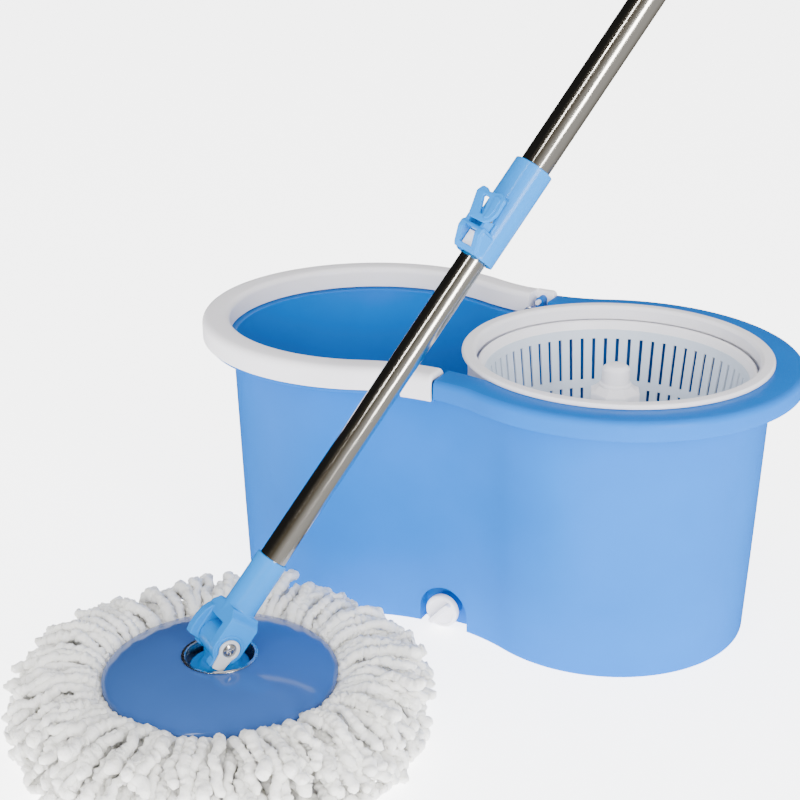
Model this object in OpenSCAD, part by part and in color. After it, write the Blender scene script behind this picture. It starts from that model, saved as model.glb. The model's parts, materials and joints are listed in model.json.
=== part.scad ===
// Spin mop: a two-lobed bucket with a spin basket, and a telescopic mop beside it.
// Millimetres, +Z up. The origin is the middle of the bucket's flat base.
// X runs from the wash lobe (-X) to the spin lobe (+X), and -Y is the front.

/* [Bucket] */
// Distance from the middle to the centre of each lobe
lobe_x = 102; // [98:1:106]
// Outer radius of a lobe at the base
base_r = 107; // [104:0.5:108]
// Outer radius of a lobe at the top of the wall
wall_r = 114.5; // [113.5:0.5:115]
// Height of the spin lobe's rim
rim_z = 212.5; // [205:0.5:216]
// Outer radius of the rim round a lobe
rim_r = 137; // [135:0.5:138]
// Wall thickness
wall_t = 2.5; // [2:0.1:3]
// Distance from the middle to the centre of the waist fillets
waist_y = 235; // [220:1:260]

/* [Carry handle] */
// Outer radius of the handle's channel round the wash lobe
bail_r = 137.6; // [137:0.1:139]
// Width of the channel
bail_w = 21.6; // [20:0.1:22]
// Height of the channel
bail_h = 17; // [16:0.5:18]

/* [Spin basket] */
// Radius of the basket at its rim
basket_r = 103; // [100:0.5:103.5]
// Radius of the basket at its floor
basket_floor_r = 88; // [84:0.5:92]
// Height of the basket's rim
basket_top_z = 205; // [200:0.5:208]
// Height of the underside of the basket's floor
basket_z = 110; // [108:1:114]
// Number of slots in each row round the basket
slot_count = 64; // [48:4:64]
// Width of a slot
slot_w = 2.6; // [2:0.1:3.2]

/* [Mop head] */
// Place of the mop head on the floor, along X
head_x = -68; // [-75:1:-60]
// Place of the mop head on the floor, along Y
head_y = -282.5; // [-300:0.5:-280]
// Radius of the mop plate
plate_r = 80; // [76:0.5:82]
// Radius of the spread yarn
yarn_r = 148; // [140:1:150]
// Height of the tilting hinge
hinge_z = 69; // [68.5:0.1:70]

/* [Pole] */
// Compass angle of the leaning pole, from +X towards +Y
pole_heading = 57; // [54:1:58]
// Lean of the pole from the vertical
pole_lean = 39.5; // [36:0.5:40]
// Outer radius of the lower tube
lower_tube_r = 9.5; // [9.4:0.1:9.5]
// Outer radius of the upper tube
upper_tube_r = 11; // [11:0.1:11.2]
// Distance from the hinge to the bottom of the lock collar
lock_s = 308.5; // [300:0.5:330]
// Length of the lock collar
lock_len = 73.5; // [72:0.5:80]
// Distance from the hinge to the top of the upper tube
pole_s = 1060; // [1040:5:1120]
// Rise of the twisted rod in one turn
rod_lead = 80; // [70:5:100]

/* [Hidden] */
$fn = 96;

// Overlap that makes one shape cut cleanly through another
cut = 1;
basket_wall_t = 2;
// Hair-wide gap round a tube or shaft that sits fast in its seat
seat_gap = 0.02;
// How far a fillet bites into its lobe, so that the two arcs cross instead of just touching
bite = 0.05;
waist_sum = sqrt(pow(lobe_x, 2) + pow(waist_y, 2));
floor_t = 3;
blue = [0.40, 0.62, 0.84];
light_blue = [0.43, 0.68, 0.90];
deep_blue = [0.31, 0.51, 0.80];
white = [0.89, 0.89, 0.88];
steel = [0.60, 0.60, 0.58];

// Where the stepped-down wash rim ends and the spin rim starts
step_x = 7.5;
flange_z = 197.7;
flange_t = 2.2;
flange_r = 134;
apron_z = 198;
apron_t = 2.2;
half_space = 300;

// Handle pivots, just inside the ends of the channel
pivot_x = -3;
pivot_z = 209;
bail_z = rim_z - 13.5;
bail_end_x = 6;
bail_t = 2.4;
bail_waist_y = bail_r - waist_sum + waist_y;
pin_r = 2;
lug_r = 3.4;

// Drain in the front of the waist
drain_x = 4;
drain_z = 15;
drain_y = -88;
recess_w = 40;
recess_h = 33;
recess_back_y = -76;
spout_r = 10.5;
spout_bore_r = 8;
spout_y = -84;
knob_r = 13;

// Spin axis parts
post_r = 19.5;
column_r = 18.5;
hub_hex_r = 15.5;
shaft_r = 4;
pedestal_top_z = 98;

// Mop head heights
cup_r = 24;
cup_floor_z = 46;
plate_edge_z = 40;

// Pole parts, as distances from the hinge along the pole
cheek_r = 11.5;
cheek_in = 9.2;
cheek_out = 16.8;
side_plate_t = 1.8;
socket_r = 11.4;
socket_top = 65;
tube_t = 0.8;
lower_top = 690;
clutch_top = 716;
nut_s = 703;
anchor_s = 1000;
rod_w = 6;
rod_t = 3;
rod_len = 540;
collar_r = 14.2;
lock_turn = -160;
lever_x = 20;
lever_s = lock_s + 24.5;
block_travel_gap = 0.3;

// A tapered solid with the bucket's outline: two lobes joined by a waist with round fillets.
// r1 and r2 are the lobe radii at its bottom and top.
module bone(r1, r2, h) {
    slope = (r2 - r1) / h;
    for (side = [-1, 1])
        translate([side * lobe_x, 0, 0])
            cylinder(h = h, r1 = r1, r2 = r2);
    difference() {
        linear_extrude(h)
            polygon([[-lobe_x, 0], [0, -waist_y], [lobe_x, 0], [0, waist_y]]);
        for (side = [-1, 1])
            translate([0, side * waist_y, -cut])
                cylinder(h = h + 2 * cut, r1 = waist_sum - r1 + slope * cut + bite,
                         r2 = waist_sum - r2 - slope * cut + bite);
    }
}

// Everything at a larger X than the given one
module right_of(x) {
    translate([x, -half_space, -half_space])
        cube([half_space, 2 * half_space, 3 * half_space]);
}

// Everything at a smaller X than the given one
module left_of(x) {
    translate([x - half_space, -half_space, -half_space])
        cube([half_space, 2 * half_space, 3 * half_space]);
}

module on_spin_axis() {
    translate([lobe_x, 0, 0])
        children();
}

// The mop head's frame: its own axis is Z, and the tilting hinge runs along Y
module on_head() {
    translate([head_x, head_y, 0])
        rotate([0, 0, pole_heading])
            children();
}

// The pole's frame: Z runs up the pole from the hinge, and the hinge runs along Y
module on_pole() {
    translate([head_x, head_y, hinge_z])
        rotate([0, 0, pole_heading])
            rotate([0, pole_lean, 0])
                children();
}

// The lock's frame: as the pole's, turned so that X points out through the lever
module on_lock() {
    on_pole()
        rotate([0, 0, lock_turn])
            children();
}

module tube(r_out, r_in, z0, z1) {
    translate([0, 0, z0])
        difference() {
            cylinder(h = z1 - z0, r = r_out);
            translate([0, 0, -cut])
                cylinder(h = z1 - z0 + 2 * cut, r = r_in);
        }
}

module rod_y(r, y0, y1) {
    translate([0, y1, 0])
        rotate([90, 0, 0])
            cylinder(h = y1 - y0, r = r);
}

// ---- Bucket ----

function wall_at(z) = base_r + (wall_r - base_r) * z / rim_z;

// The drain recess: an arch from the floor up, as deep as y0 to y1
module arch(w, h, y0, y1) {
    translate([drain_x, 0, 0]) {
        translate([0, 0, h - w / 2])
            rod_y(w / 2, y0, y1);
        translate([-w / 2, y0, 0])
            cube([w, y1 - y0, h - w / 2]);
    }
}

// The step on each side of the waist that carries a handle pin
module pivot_lug(side) {
    translate([pivot_x, 0, pivot_z]) {
        rod_y(lug_r, side * 105.5 - 6, side * 105.5 + 6);
        translate([-lug_r, side * 105.5 - 6, flange_z - pivot_z - cut])
            cube([2 * lug_r, 12, pivot_z - flange_z + cut]);
    }
}

module bucket() {
    recess_wall = wall_t;
    color(blue)
        difference() {
            union() {
                difference() {
                    union() {
                        bone(base_r, wall_r, rim_z);
                        // Rim round the spin lobe
                        intersection() {
                            translate([0, 0, apron_z])
                                bone(rim_r, rim_r, rim_z - apron_z);
                            right_of(step_x);
                        }
                        // Lower flange round the wash lobe, under the handle
                        intersection() {
                            translate([0, 0, flange_z - flange_t])
                                bone(flange_r, flange_r, flange_t);
                            left_of(step_x + cut);
                        }
                    }
                    // Hollow under the rim, inside its apron
                    intersection() {
                        difference() {
                            translate([0, 0, apron_z - cut])
                                bone(rim_r - apron_t, rim_r - apron_t, rim_z - flange_t - apron_z + cut);
                            translate([0, 0, apron_z - 2 * cut])
                                bone(wall_r, wall_r, rim_z - apron_z);
                        }
                        right_of(step_x + apron_t);
                    }
                    // The inside
                    translate([0, 0, floor_t])
                        bone(base_r - wall_t, wall_r - wall_t, rim_z - floor_t + cut);
                    // Step down to the wash rim
                    translate([step_x - half_space, -half_space, flange_z])
                        cube([half_space, 2 * half_space, half_space]);
                }
                // Walls of the drain recess, standing inside the bucket
                intersection() {
                    arch(recess_w + 2 * recess_wall, recess_h + recess_wall, -92, recess_back_y + recess_wall);
                    bone(base_r, wall_r, rim_z);
                }
                for (side = [-1, 1])
                    pivot_lug(side);
            }
            arch_cut();
            for (side = [-1, 1])
                translate([pivot_x, 0, pivot_z])
                    rod_y(pin_r, side * 105.5 - 10, side * 105.5 + 10);
            translate([drain_x, 0, drain_z])
                rod_y(spout_bore_r, -95, -70);
        }
    drain_spout();
}

// The open space of the recess, which leaves the spout standing
module arch_cut() {
    translate([0, 0, -cut])
        arch(recess_w, recess_h + cut, -100, recess_back_y);
}

module drain_spout() {
    color(blue)
        translate([drain_x, 0, drain_z])
            difference() {
                rod_y(spout_r, spout_y, recess_back_y + 0.5);
                rod_y(spout_bore_r, spout_y - cut, recess_back_y + 0.5 + cut);
            }
}

module drain_plug() {
    color(white)
        translate([drain_x, 0, drain_z]) {
            rod_y(knob_r, -92, spout_y - 1.5);
            rod_y(spout_bore_r - 0.3, spout_y - 2, -73);
            // Finger bar across the knob
            intersection() {
                rotate([0, 45, 0])
                    translate([-2, -96.5, -knob_r])
                        cube([4, 5, 2 * knob_r]);
                rod_y(knob_r - 1, -97, -91);
            }
        }
}

module drain_gasket() {
    color([0.15, 0.15, 0.15])
        translate([drain_x, 0, drain_z])
            difference() {
                rod_y(spout_r, spout_y - 1.45, spout_y - 0.15);
                rod_y(spout_bore_r + 0.1, spout_y - 3, spout_y + 2);
            }
}

// ---- Carry handle ----

// The band between the two sides of the channel
module band(r_out, r_in, z0, z1) {
    difference() {
        translate([0, 0, z0])
            bone(r_out, r_out, z1 - z0);
        translate([0, 0, z0 - cut])
            bone(r_in, r_in, z1 - z0 + 2 * cut);
        right_of(bail_end_x);
    }
}

module carry_handle() {
    top = bail_z + bail_h;
    bevel = 3;
    color(white)
        difference() {
            union() {
                band(bail_r, bail_r - bail_w, bail_z, top - bevel);
                difference() {
                    translate([0, 0, top - bevel])
                        bone(bail_r, bail_r - bevel, bevel);
                    translate([0, 0, top - bevel - cut])
                        bone(bail_r - bail_w, bail_r - bail_w, bevel + 2 * cut);
                    right_of(bail_end_x);
                }
            }
            // The channel's hollow, open below and at its ends
            difference() {
                translate([0, 0, bail_z - cut])
                    bone(bail_r - bail_t, bail_r - bail_t, bail_h - 3.2 + cut);
                translate([0, 0, bail_z - 2 * cut])
                    bone(bail_r - bail_w + bail_t, bail_r - bail_w + bail_t, bail_h);
            }
            // The inner side is shorter near the pivots, and the end's top corner is cut back
            translate([pivot_x - 12, -bail_waist_y + 5, bail_z - cut])
                cube([half_space, 2 * (bail_waist_y - 5), 5]);
            for (side = [-1, 1])
                translate([bail_end_x, side * (bail_waist_y - 20), top])
                    rotate([0, 45, 0])
                        cube([7, 80, 7], center = true);
            for (side = [-1, 1])
                translate([pivot_x, 0, pivot_z])
                    rod_y(pin_r + 0.05, min(side * 90, side * (bail_waist_y - 1)),
                          max(side * 90, side * (bail_waist_y - 1)));
        }
}

module handle_pin(side) {
    inner = bail_waist_y - bail_w + 0.5;
    outer = bail_waist_y - 1.3;
    color(white)
        translate([pivot_x, 0, pivot_z])
            rod_y(pin_r, min(side * inner, side * outer), max(side * inner, side * outer));
}

module handle_pin_front() {
    handle_pin(-1);
}

module handle_pin_back() {
    handle_pin(1);
}

// ---- Spin basket and what it turns on ----

module axle_pedestal() {
    color(white)
        on_spin_axis()
            difference() {
                union() {
                    translate([0, 0, floor_t])
                        cylinder(h = 4, r = 44);
                    translate([0, 0, floor_t + 4])
                        cylinder(h = pedestal_top_z - floor_t - 4, r1 = 32, r2 = 16);
                }
                translate([0, 0, floor_t - cut])
                    cylinder(h = pedestal_top_z - floor_t - 29, r1 = 28.5, r2 = 15);
                cylinder(h = pedestal_top_z + cut, r = shaft_r + seat_gap);
                for (i = [0:2])
                    rotate([0, 0, i * 120])
                        translate([38, 0, 0])
                            cylinder(h = 20, r = 2.2);
            }
}

module pedestal_screws() {
    color(steel)
        on_spin_axis()
            for (i = [0:2])
                rotate([0, 0, i * 120])
                    translate([38, 0, 0]) {
                        translate([0, 0, floor_t])
                            cylinder(h = 4.5, r = 2.1);
                        translate([0, 0, floor_t + 4.05])
                            cylinder(h = 2.2, r = 4);
                    }
}

module axle_shaft() {
    color(steel)
        on_spin_axis()
            difference() {
                translate([0, 0, 72])
                    cylinder(h = 98, r = shaft_r);
                tube(shaft_r + cut, shaft_r - 0.8, 165, 166.4);
            }
}

module thrust_washer() {
    color([0.75, 0.75, 0.72])
        on_spin_axis()
            tube(12, shaft_r + 0.1, pedestal_top_z + 0.1, pedestal_top_z + 1.9);
}

module shaft_clip() {
    color(steel)
        on_spin_axis()
            difference() {
                tube(7, shaft_r - 0.7, 165.1, 166.3);
                translate([0, -1.5, 160])
                    cube([10, 3, 10]);
            }
}

module spin_hub() {
    hub_z = pedestal_top_z + 2.2;
    color(white)
        on_spin_axis()
            difference() {
                union() {
                    translate([0, 0, hub_z])
                        cylinder(h = 9, r = 17.6);
                    translate([0, 0, hub_z])
                        cylinder(h = 64, r = hub_hex_r, $fn = 6);
                }
                cylinder(h = 200, r = shaft_r + 2.5);
            }
}

module hub_bush(z) {
    color([0.72, 0.58, 0.32])
        on_spin_axis()
            tube(shaft_r + 2.45, shaft_r + 0.05, z, z + 12);
}

module hub_bush_lower() {
    hub_bush(pedestal_top_z + 2.4);
}

module hub_bush_upper() {
    hub_bush(152);
}

// Outer radius of the basket's tapered wall at a height
function basket_out(z) =
    basket_floor_r + (basket_r - 4 - basket_floor_r) * (z - basket_z - 5) / (basket_top_z - basket_z - 13);

// Floor of the basket with its turned-up edge, its drain holes and its hollow middle column
module spin_basket() {
    column_in = column_r - 1.6;
    lip_z = basket_z + 6 - seat_gap;
    color(white)
        on_spin_axis()
            difference() {
                rotate_extrude()
                    polygon([[column_in, basket_z], [basket_floor_r - 6, basket_z], [basket_floor_r, basket_z + 5],
                             [basket_out(lip_z), lip_z], [basket_floor_r - basket_wall_t, lip_z],
                             [basket_floor_r - 7, basket_z + 2.5], [column_r, basket_z + 2.5],
                             [column_r, 175], [7, 175], [7, 172.8], [column_in, 172.8]]);
                for (i = [0:11])
                    rotate([0, 0, i * 30])
                        for (r = [34, 52, 70])
                            translate([r, 0, basket_z - cut])
                                cylinder(h = 6, r = 3);
            }
    hex_key();
}

// Tapered wall of the basket with its rim and two rows of upright slots, seated on the floor's edge
module basket_wall() {
    shoulder_z = basket_top_z - 8;
    foot_z = basket_z + 6;
    color(white)
        on_spin_axis()
            difference() {
                rotate_extrude()
                    polygon([[basket_out(foot_z), foot_z], [basket_r - 4, shoulder_z], [basket_r, basket_top_z - 3],
                             [basket_r, basket_top_z - 1], [basket_r - 1, basket_top_z],
                             [basket_r - 3, basket_top_z - 1], [basket_r - 4 - basket_wall_t, shoulder_z],
                             [basket_floor_r - basket_wall_t, foot_z]]);
                for (i = [0:slot_count - 1])
                    rotate([0, 0, (i + 0.5) * 360 / slot_count])
                        for (row = [[120, 151], [157.5, 191]])
                            translate([basket_floor_r - 14, -slot_w / 2, row[0]])
                                cube([30, slot_w, row[1] - row[0]]);
            }
}

// Ribs inside the column that fit the hub's flats
module hex_key() {
    color(white)
        on_spin_axis()
            for (i = [0:5])
                rotate([0, 0, 30 + i * 60])
                    translate([hub_hex_r * cos(30) + 0.4, -3, basket_z + 1])
                        cube([3.2, 6, 50]);
}

// The post that the mop head sits on: an eight-sided tapered flange under a round cap
module drive_post() {
    color(white)
        on_spin_axis()
            difference() {
                union() {
                    translate([0, 0, 175])
                        cylinder(h = 9, r = post_r, $fn = 8);
                    translate([0, 0, 184])
                        cylinder(h = 5, r1 = 17.4, r2 = 11.5);
                    translate([0, 0, 189])
                        cylinder(h = 11, r1 = 10.6, r2 = 10.1);
                    translate([0, 0, 200])
                        cylinder(h = 2.6, r1 = 10.1, r2 = 8.2);
                    translate([0, 0, 202.6])
                        cylinder(h = 1.6, r1 = 8.2, r2 = 4);
                }
                translate([0, 0, 174])
                    cylinder(h = 8, r = 8);
            }
}

module splash_collar() {
    lip_r = 115;
    in_r = 104.5;
    lip_z = rim_z + 0.3;
    color(white)
        on_spin_axis()
            rotate_extrude()
                polygon([[lip_r, lip_z], [lip_r, lip_z + 1.5], [lip_r - 1.5, lip_z + 3], [in_r + 1.8, lip_z + 3],
                         [in_r, lip_z + 1], [in_r, lip_z - 8], [in_r + 1.8, lip_z - 8], [in_r + 1.8, lip_z - 2.5],
                         [in_r + 4, lip_z - 1.5], [in_r + 4, 190], [in_r + 5.8, 190], [in_r + 5.8, lip_z]]);
}

// ---- Mop head ----

module mop_plate() {
    edge_t = 2.4;
    dome_z = 57;
    color(deep_blue)
        on_head()
            difference() {
                union() {
                    // Dome and the wall of its cup
                    rotate_extrude()
                        polygon([[cup_r + 0.2, cup_floor_z - 2.5], [cup_r + 0.2, dome_z], [plate_r * 0.55, dome_z - 1.6],
                                 [plate_r * 0.8, dome_z - 5.5], [plate_r - 2.5, dome_z - 10.5],
                                 [plate_r, plate_edge_z + 5], [plate_r, plate_edge_z],
                                 [plate_r - edge_t, plate_edge_z], [plate_r - edge_t, plate_edge_z + 4.2],
                                 [plate_r * 0.8, dome_z - 8.2], [plate_r * 0.55, dome_z - 4.3],
                                 [cup_r + 2.4, dome_z - 2.8], [cup_r + 2.4, cup_floor_z - 2.5]]);
                    // Floor of the cup, and the hub below it
                    tube(cup_r + 1.3, 8, cup_floor_z - 2.5, cup_floor_z);
                    tube(12.5, 8, 30.2, cup_floor_z - cut);
                    // Socket that fits over the post in the basket
                    tube(23, 20.5, 24, cup_floor_z - cut);
                    // Flange that the refill ring clips to
                    tube(33, 22, 36.5, 38.5);
                    tube(33, 31, 36.5, dome_z - 2.8);
                }
                for (i = [0:5])
                    rotate([0, 0, i * 60])
                        translate([27, 0, 30])
                            cylinder(h = 12, r = 2);
            }
}

module cup_ring() {
    color(steel)
        on_head()
            rotate_extrude()
                polygon([[cup_r - 0.9, cup_floor_z + 0.1], [cup_r + 0.1, cup_floor_z + 0.1], [cup_r + 0.1, 57.1],
                         [cup_r + 1.8, 57.1], [cup_r + 1.8, 57.9], [cup_r - 0.9, 57.9]]);
}

module swivel_race() {
    color(steel)
        on_head()
            tube(18, 8.1, cup_floor_z + 0.05, cup_floor_z + 1.9);
}

// The joint foot: a turning base in the cup, and the barrel that the yoke tilts on
module swivel_base() {
    barrel_y = cheek_in - 0.5;
    color(light_blue)
        on_head()
            difference() {
                union() {
                    tube(20, 2.2, cup_floor_z + 2, cup_floor_z + 5);
                    tube(7.9, 2.2, 30, cup_floor_z + 3);
                    translate([-8, -barrel_y, cup_floor_z + 4])
                        cube([16, 2 * barrel_y, hinge_z - cup_floor_z - 4]);
                    translate([0, 0, hinge_z])
                        rod_y(11, -barrel_y, barrel_y);
                }
                translate([0, 0, hinge_z])
                    rod_y(2.5, -20, 20);
                translate([0, 0, 29])
                    cylinder(h = 20, r = 1.9);
            }
}

module swivel_washer() {
    color(steel)
        on_head()
            tube(12, 2.1, 28.4, 29.9);
}

module swivel_screw() {
    color(steel)
        on_head() {
            translate([0, 0, 28])
                cylinder(h = 19, r = 1.85);
            translate([0, 0, 25.8])
                cylinder(h = 2.5, r = 4);
        }
}

module refill_ring() {
    color(white)
        on_head() {
            tube(76, 34, 31.4, 34);
            tube(36, 34, 31.4, 38.5);
            tube(70, 68, 33, 37.5);
        }
}

// The yarn as one plain ring: its strands lie over each other from under the plate to the floor
module yarn() {
    color([0.90, 0.90, 0.88])
        on_head()
            rotate_extrude()
                polygon([[36, 31], [34, 3], [40, 0], [yarn_r - 3, 0], [yarn_r, 7], [yarn_r - 1, 24],
                         [yarn_r - 8, 38], [yarn_r - 24, 50], [yarn_r - 44, 55], [yarn_r - 60, 51],
                         [plate_r + 1.2, 42], [plate_r + 1.2, 34], [77, 31]]);
}

// ---- Yoke ----

// One cheek: round about the hinge, with a straight foot below it
module cheek(side, foot) {
    y0 = side > 0 ? cheek_in : -cheek_out;
    rod_y(cheek_r, y0, y0 + cheek_out - cheek_in);
    translate([-cheek_r, y0, 0])
        cube([2 * cheek_r, cheek_out - cheek_in, 18]);
    translate([-5.5, y0, -foot])
        cube([11, cheek_out - cheek_in, foot]);
}

module yoke() {
    color(light_blue)
        on_pole()
            difference() {
                union() {
                    cheek(-1, 15.5);
                    cheek(1, 11);
                    translate([-cheek_r, -cheek_out, 12.5])
                        cube([2 * cheek_r, 2 * cheek_out, 5.5]);
                    // Shoulder that narrows from the cheeks to the socket
                    hull() {
                        translate([-cheek_r, -cheek_out, 17.5])
                            cube([2 * cheek_r, 2 * cheek_out, 0.5]);
                        translate([0, 0, 25])
                            cylinder(h = 0.5, r = socket_r, $fn = 32);
                    }
                    translate([0, 0, 18])
                        cylinder(h = socket_top - 18, r = socket_r);
                }
                // Socket for the lower tube
                translate([0, 0, 21])
                    cylinder(h = socket_top, r = lower_tube_r + seat_gap);
                rod_y(2.45, -30, 30);
            }
}

// Teardrop plate on the outside of a cheek
module side_plate(side) {
    y0 = side > 0 ? cheek_out + 0.05 : -cheek_out - 0.05 - side_plate_t;
    color([0.80, 0.81, 0.82])
        on_pole()
            difference() {
                union() {
                    rod_y(7.6, y0, y0 + side_plate_t);
                    translate([-4.4, y0, side > 0 ? -11 : -15.4])
                        cube([8.8, side_plate_t, side > 0 ? 11 : 15.4]);
                }
                rod_y(5, -30, 30);
            }
}

module screw_side_plate() {
    side_plate(-1);
}

module nut_side_plate() {
    side_plate(1);
}

module hinge_screw() {
    color(steel)
        on_pole()
            difference() {
                union() {
                    rod_y(2.4, -cheek_out - 0.2, cheek_out + 2);
                    rod_y(4.5, -cheek_out - 2.2, -cheek_out - 0.1);
                }
                // Cross slots
                for (turn = [0, 90])
                    rotate([0, turn, 0])
                        translate([-2.6, -cheek_out - 3.2, -0.4])
                            cube([5.2, 2.2, 0.8]);
            }
}

module hinge_nut() {
    color(steel)
        on_pole()
            difference() {
                translate([0, cheek_out + 2, 0])
                    rotate([90, 0, 0])
                        cylinder(h = 1.9, r = 4.5, $fn = 6);
                rod_y(2.4, 0, 30);
            }
}

// ---- Lower tube and drive ----

module lower_tube() {
    color(steel)
        on_pole()
            tube(lower_tube_r, lower_tube_r - tube_t, 21.2, lower_top);
}

module guide_bush() {
    color(white)
        on_pole()
            tube(upper_tube_r - tube_t - 0.1, lower_tube_r + seat_gap, lower_top - 45, lower_top - 0.5);
}

module clutch_housing() {
    plug_r = lower_tube_r - tube_t;
    color(white)
        on_pole()
            difference() {
                union() {
                    translate([0, 0, lower_top - 20])
                        cylinder(h = 21, r = plug_r);
                    translate([0, 0, lower_top])
                        cylinder(h = 21, r = lower_tube_r + 0.4);
                }
                translate([0, 0, lower_top - 21])
                    cylinder(h = 60, r = 4.2);
                translate([0, 0, nut_s - 3])
                    cylinder(h = 30, r = 7.2);
            }
}

module clutch_cap() {
    color([0.2, 0.2, 0.2])
        on_pole() {
            tube(lower_tube_r + 0.4, 4.2, lower_top + 21.1, clutch_top);
            tube(7.1, 4.2, nut_s + 3, lower_top + 21.2);
        }
}

// The nut that the twisted rod turns as it slides through
module drive_nut() {
    color([0.72, 0.58, 0.32])
        on_pole()
            translate([0, 0, nut_s])
                difference() {
                    translate([0, 0, -1.5])
                        cylinder(h = 3, r = 6.9);
                    translate([-rod_w / 2 - 0.45, -rod_t / 2 - 0.75, -5])
                        cube([rod_w + 0.9, rod_t + 1.5, 10]);
                }
}

// A flat bar twisted at an even lead; it lies along X where it passes through the nut
module twisted_rod() {
    slices_per_turn = 16;
    turns = rod_len / rod_lead;
    start = anchor_s - rod_len;
    color(steel)
        on_pole()
            translate([0, 0, start])
                rotate([0, 0, -(nut_s - start) / rod_lead * 360])
                    linear_extrude(height = rod_len, twist = -360 * turns,
                                   slices = ceil(turns * slices_per_turn), segments = 4, $fn = 4)
                        square([rod_w, rod_t], center = true);
}

module rod_anchor() {
    color(white)
        on_pole()
            tube(upper_tube_r - tube_t - 0.05, 3.6, anchor_s - 22, anchor_s);
}

// ---- Lock ----

module lock_collar() {
    step_s = lock_s + 22;
    box_w = 19.6;
    color(light_blue)
        on_lock()
            difference() {
                union() {
                    translate([0, 0, lock_s])
                        cylinder(h = lock_len, r = collar_r);
                    // Box with its sloping front
                    translate([0, box_w / 2, 0])
                        rotate([90, 0, 0])
                            linear_extrude(box_w)
                                polygon([[6, lock_s], [14.6, lock_s], [17, lock_s + 2], [23.5, lock_s + 14],
                                         [23.5, lock_s + 19], [22, lock_s + 21], [6, lock_s + 21]]);
                    // Ears for the lever's pin
                    for (side = [-1, 1])
                        translate([lever_x, side * 7.6, lever_s]) {
                            rod_y(3.5, -2.2, 2.2);
                            translate([-12, -2.2, -5])
                                cube([15.5, 4.4, 5]);
                        }
                }
                // Running hole for the lower tube, and the seat of the upper tube
                translate([0, 0, lock_s - cut])
                    cylinder(h = lock_len, r = lower_tube_r + 0.6);
                translate([0, 0, step_s])
                    cylinder(h = lock_len, r = upper_tube_r + 0.05);
                // Window for the lock block
                translate([0, -5.5, lock_s + 4.5])
                    cube([40, 11, 11.5]);
                translate([lever_x, 0, lever_s])
                    rod_y(1.6, -12, 12);
                // Room for the lever's knuckle
                translate([collar_r - 0.2, -5.3, lever_s - 5.2])
                    cube([20, 10.6, 12]);
            }
}

module lock_block() {
    color(white)
        on_lock()
            difference() {
                translate([7, -5.1, lock_s + 4.9])
                    cube([8.5, 10.2, 10.7]);
                translate([0, 0, lock_s])
                    cylinder(h = 30, r = lower_tube_r + block_travel_gap);
            }
}

module lock_lever() {
    plate_x = lever_x + 1.5;
    plate_t = 3.2;
    color(light_blue)
        on_lock()
            difference() {
                union() {
                    translate([lever_x, 0, lever_s])
                        rod_y(3.4, -5, 5);
                    translate([lever_x - 1.5, -5, lever_s])
                        cube([4.7, 10, 5]);
                    translate([plate_x, 0, lever_s])
                        rotate([90, 0, 90])
                            linear_extrude(plate_t)
                                polygon([[-5, 3.8], [5, 3.8], [12.2, 9], [12.2, 19], [9, 24.5], [-9, 24.5],
                                         [-12.2, 19], [-12.2, 9]]);
                }
                translate([lever_x, 0, lever_s])
                    rod_y(1.55, -12, 12);
                // Wedge-shaped finger window
                translate([plate_x - cut, 0, lever_s])
                    rotate([90, 0, 90])
                        linear_extrude(plate_t + 2 * cut)
                            polygon([[1, 8], [2.5, 8], [6, 19.5], [1, 19.5]]);
            }
}

module lever_pin() {
    color(steel)
        on_lock()
            translate([lever_x, 0, lever_s])
                rod_y(1.5, -9.6, 9.6);
}

// ---- Upper tube ----

module upper_tube() {
    color(steel)
        on_pole()
            tube(upper_tube_r, upper_tube_r - tube_t, lock_s + 22.1, pole_s);
}

module grip() {
    grip_r = 14;
    first = pole_s - 125;
    last = pole_s - 3;
    color([0.45, 0.68, 0.90])
        on_pole()
            difference() {
                union() {
                    tube(grip_r, upper_tube_r + seat_gap, first + 2, last - 2);
                    tube(grip_r - 1, upper_tube_r + seat_gap, first, last);
                }
                for (s = [first + 12:8:last - 10])
                    tube(grip_r + cut, grip_r - 0.7, s, s + 2);
            }
}

module end_cap() {
    color(blue)
        on_pole()
            difference() {
                union() {
                    translate([0, 0, pole_s - 18])
                        cylinder(h = 20, r = upper_tube_r - tube_t - 0.05);
                    translate([0, 0, pole_s + 0.1])
                        cylinder(h = 10, r = 14);
                    translate([0, 0, pole_s + 10])
                        cylinder(h = 4, r1 = 14, r2 = 11);
                    translate([0, 0, pole_s + 27])
                        rod_y(11, -4, 4);
                    translate([-11, -4, pole_s + 5])
                        cube([22, 8, 22]);
                }
                translate([0, 0, pole_s + 27])
                    rod_y(5.5, -10, 10);
            }
}

bucket();
axle_pedestal();
pedestal_screws();
axle_shaft();
thrust_washer();
shaft_clip();
spin_hub();
hub_bush_lower();
hub_bush_upper();
spin_basket();
basket_wall();
drive_post();
splash_collar();
carry_handle();
handle_pin_front();
handle_pin_back();
drain_plug();
drain_gasket();
mop_plate();
cup_ring();
swivel_race();
swivel_base();
swivel_washer();
swivel_screw();
refill_ring();
yarn();
yoke();
screw_side_plate();
nut_side_plate();
hinge_screw();
hinge_nut();
lower_tube();
guide_bush();
clutch_housing();
clutch_cap();
drive_nut();
lock_collar();
lock_block();
lock_lever();
lever_pin();
upper_tube();
twisted_rod();
rod_anchor();
grip();
end_cap();
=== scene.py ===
# Looks of the spin mop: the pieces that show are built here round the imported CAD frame.
import json
import math
import random

import bmesh
import bpy
import numpy as np
from mathutils import Matrix, Vector


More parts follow.
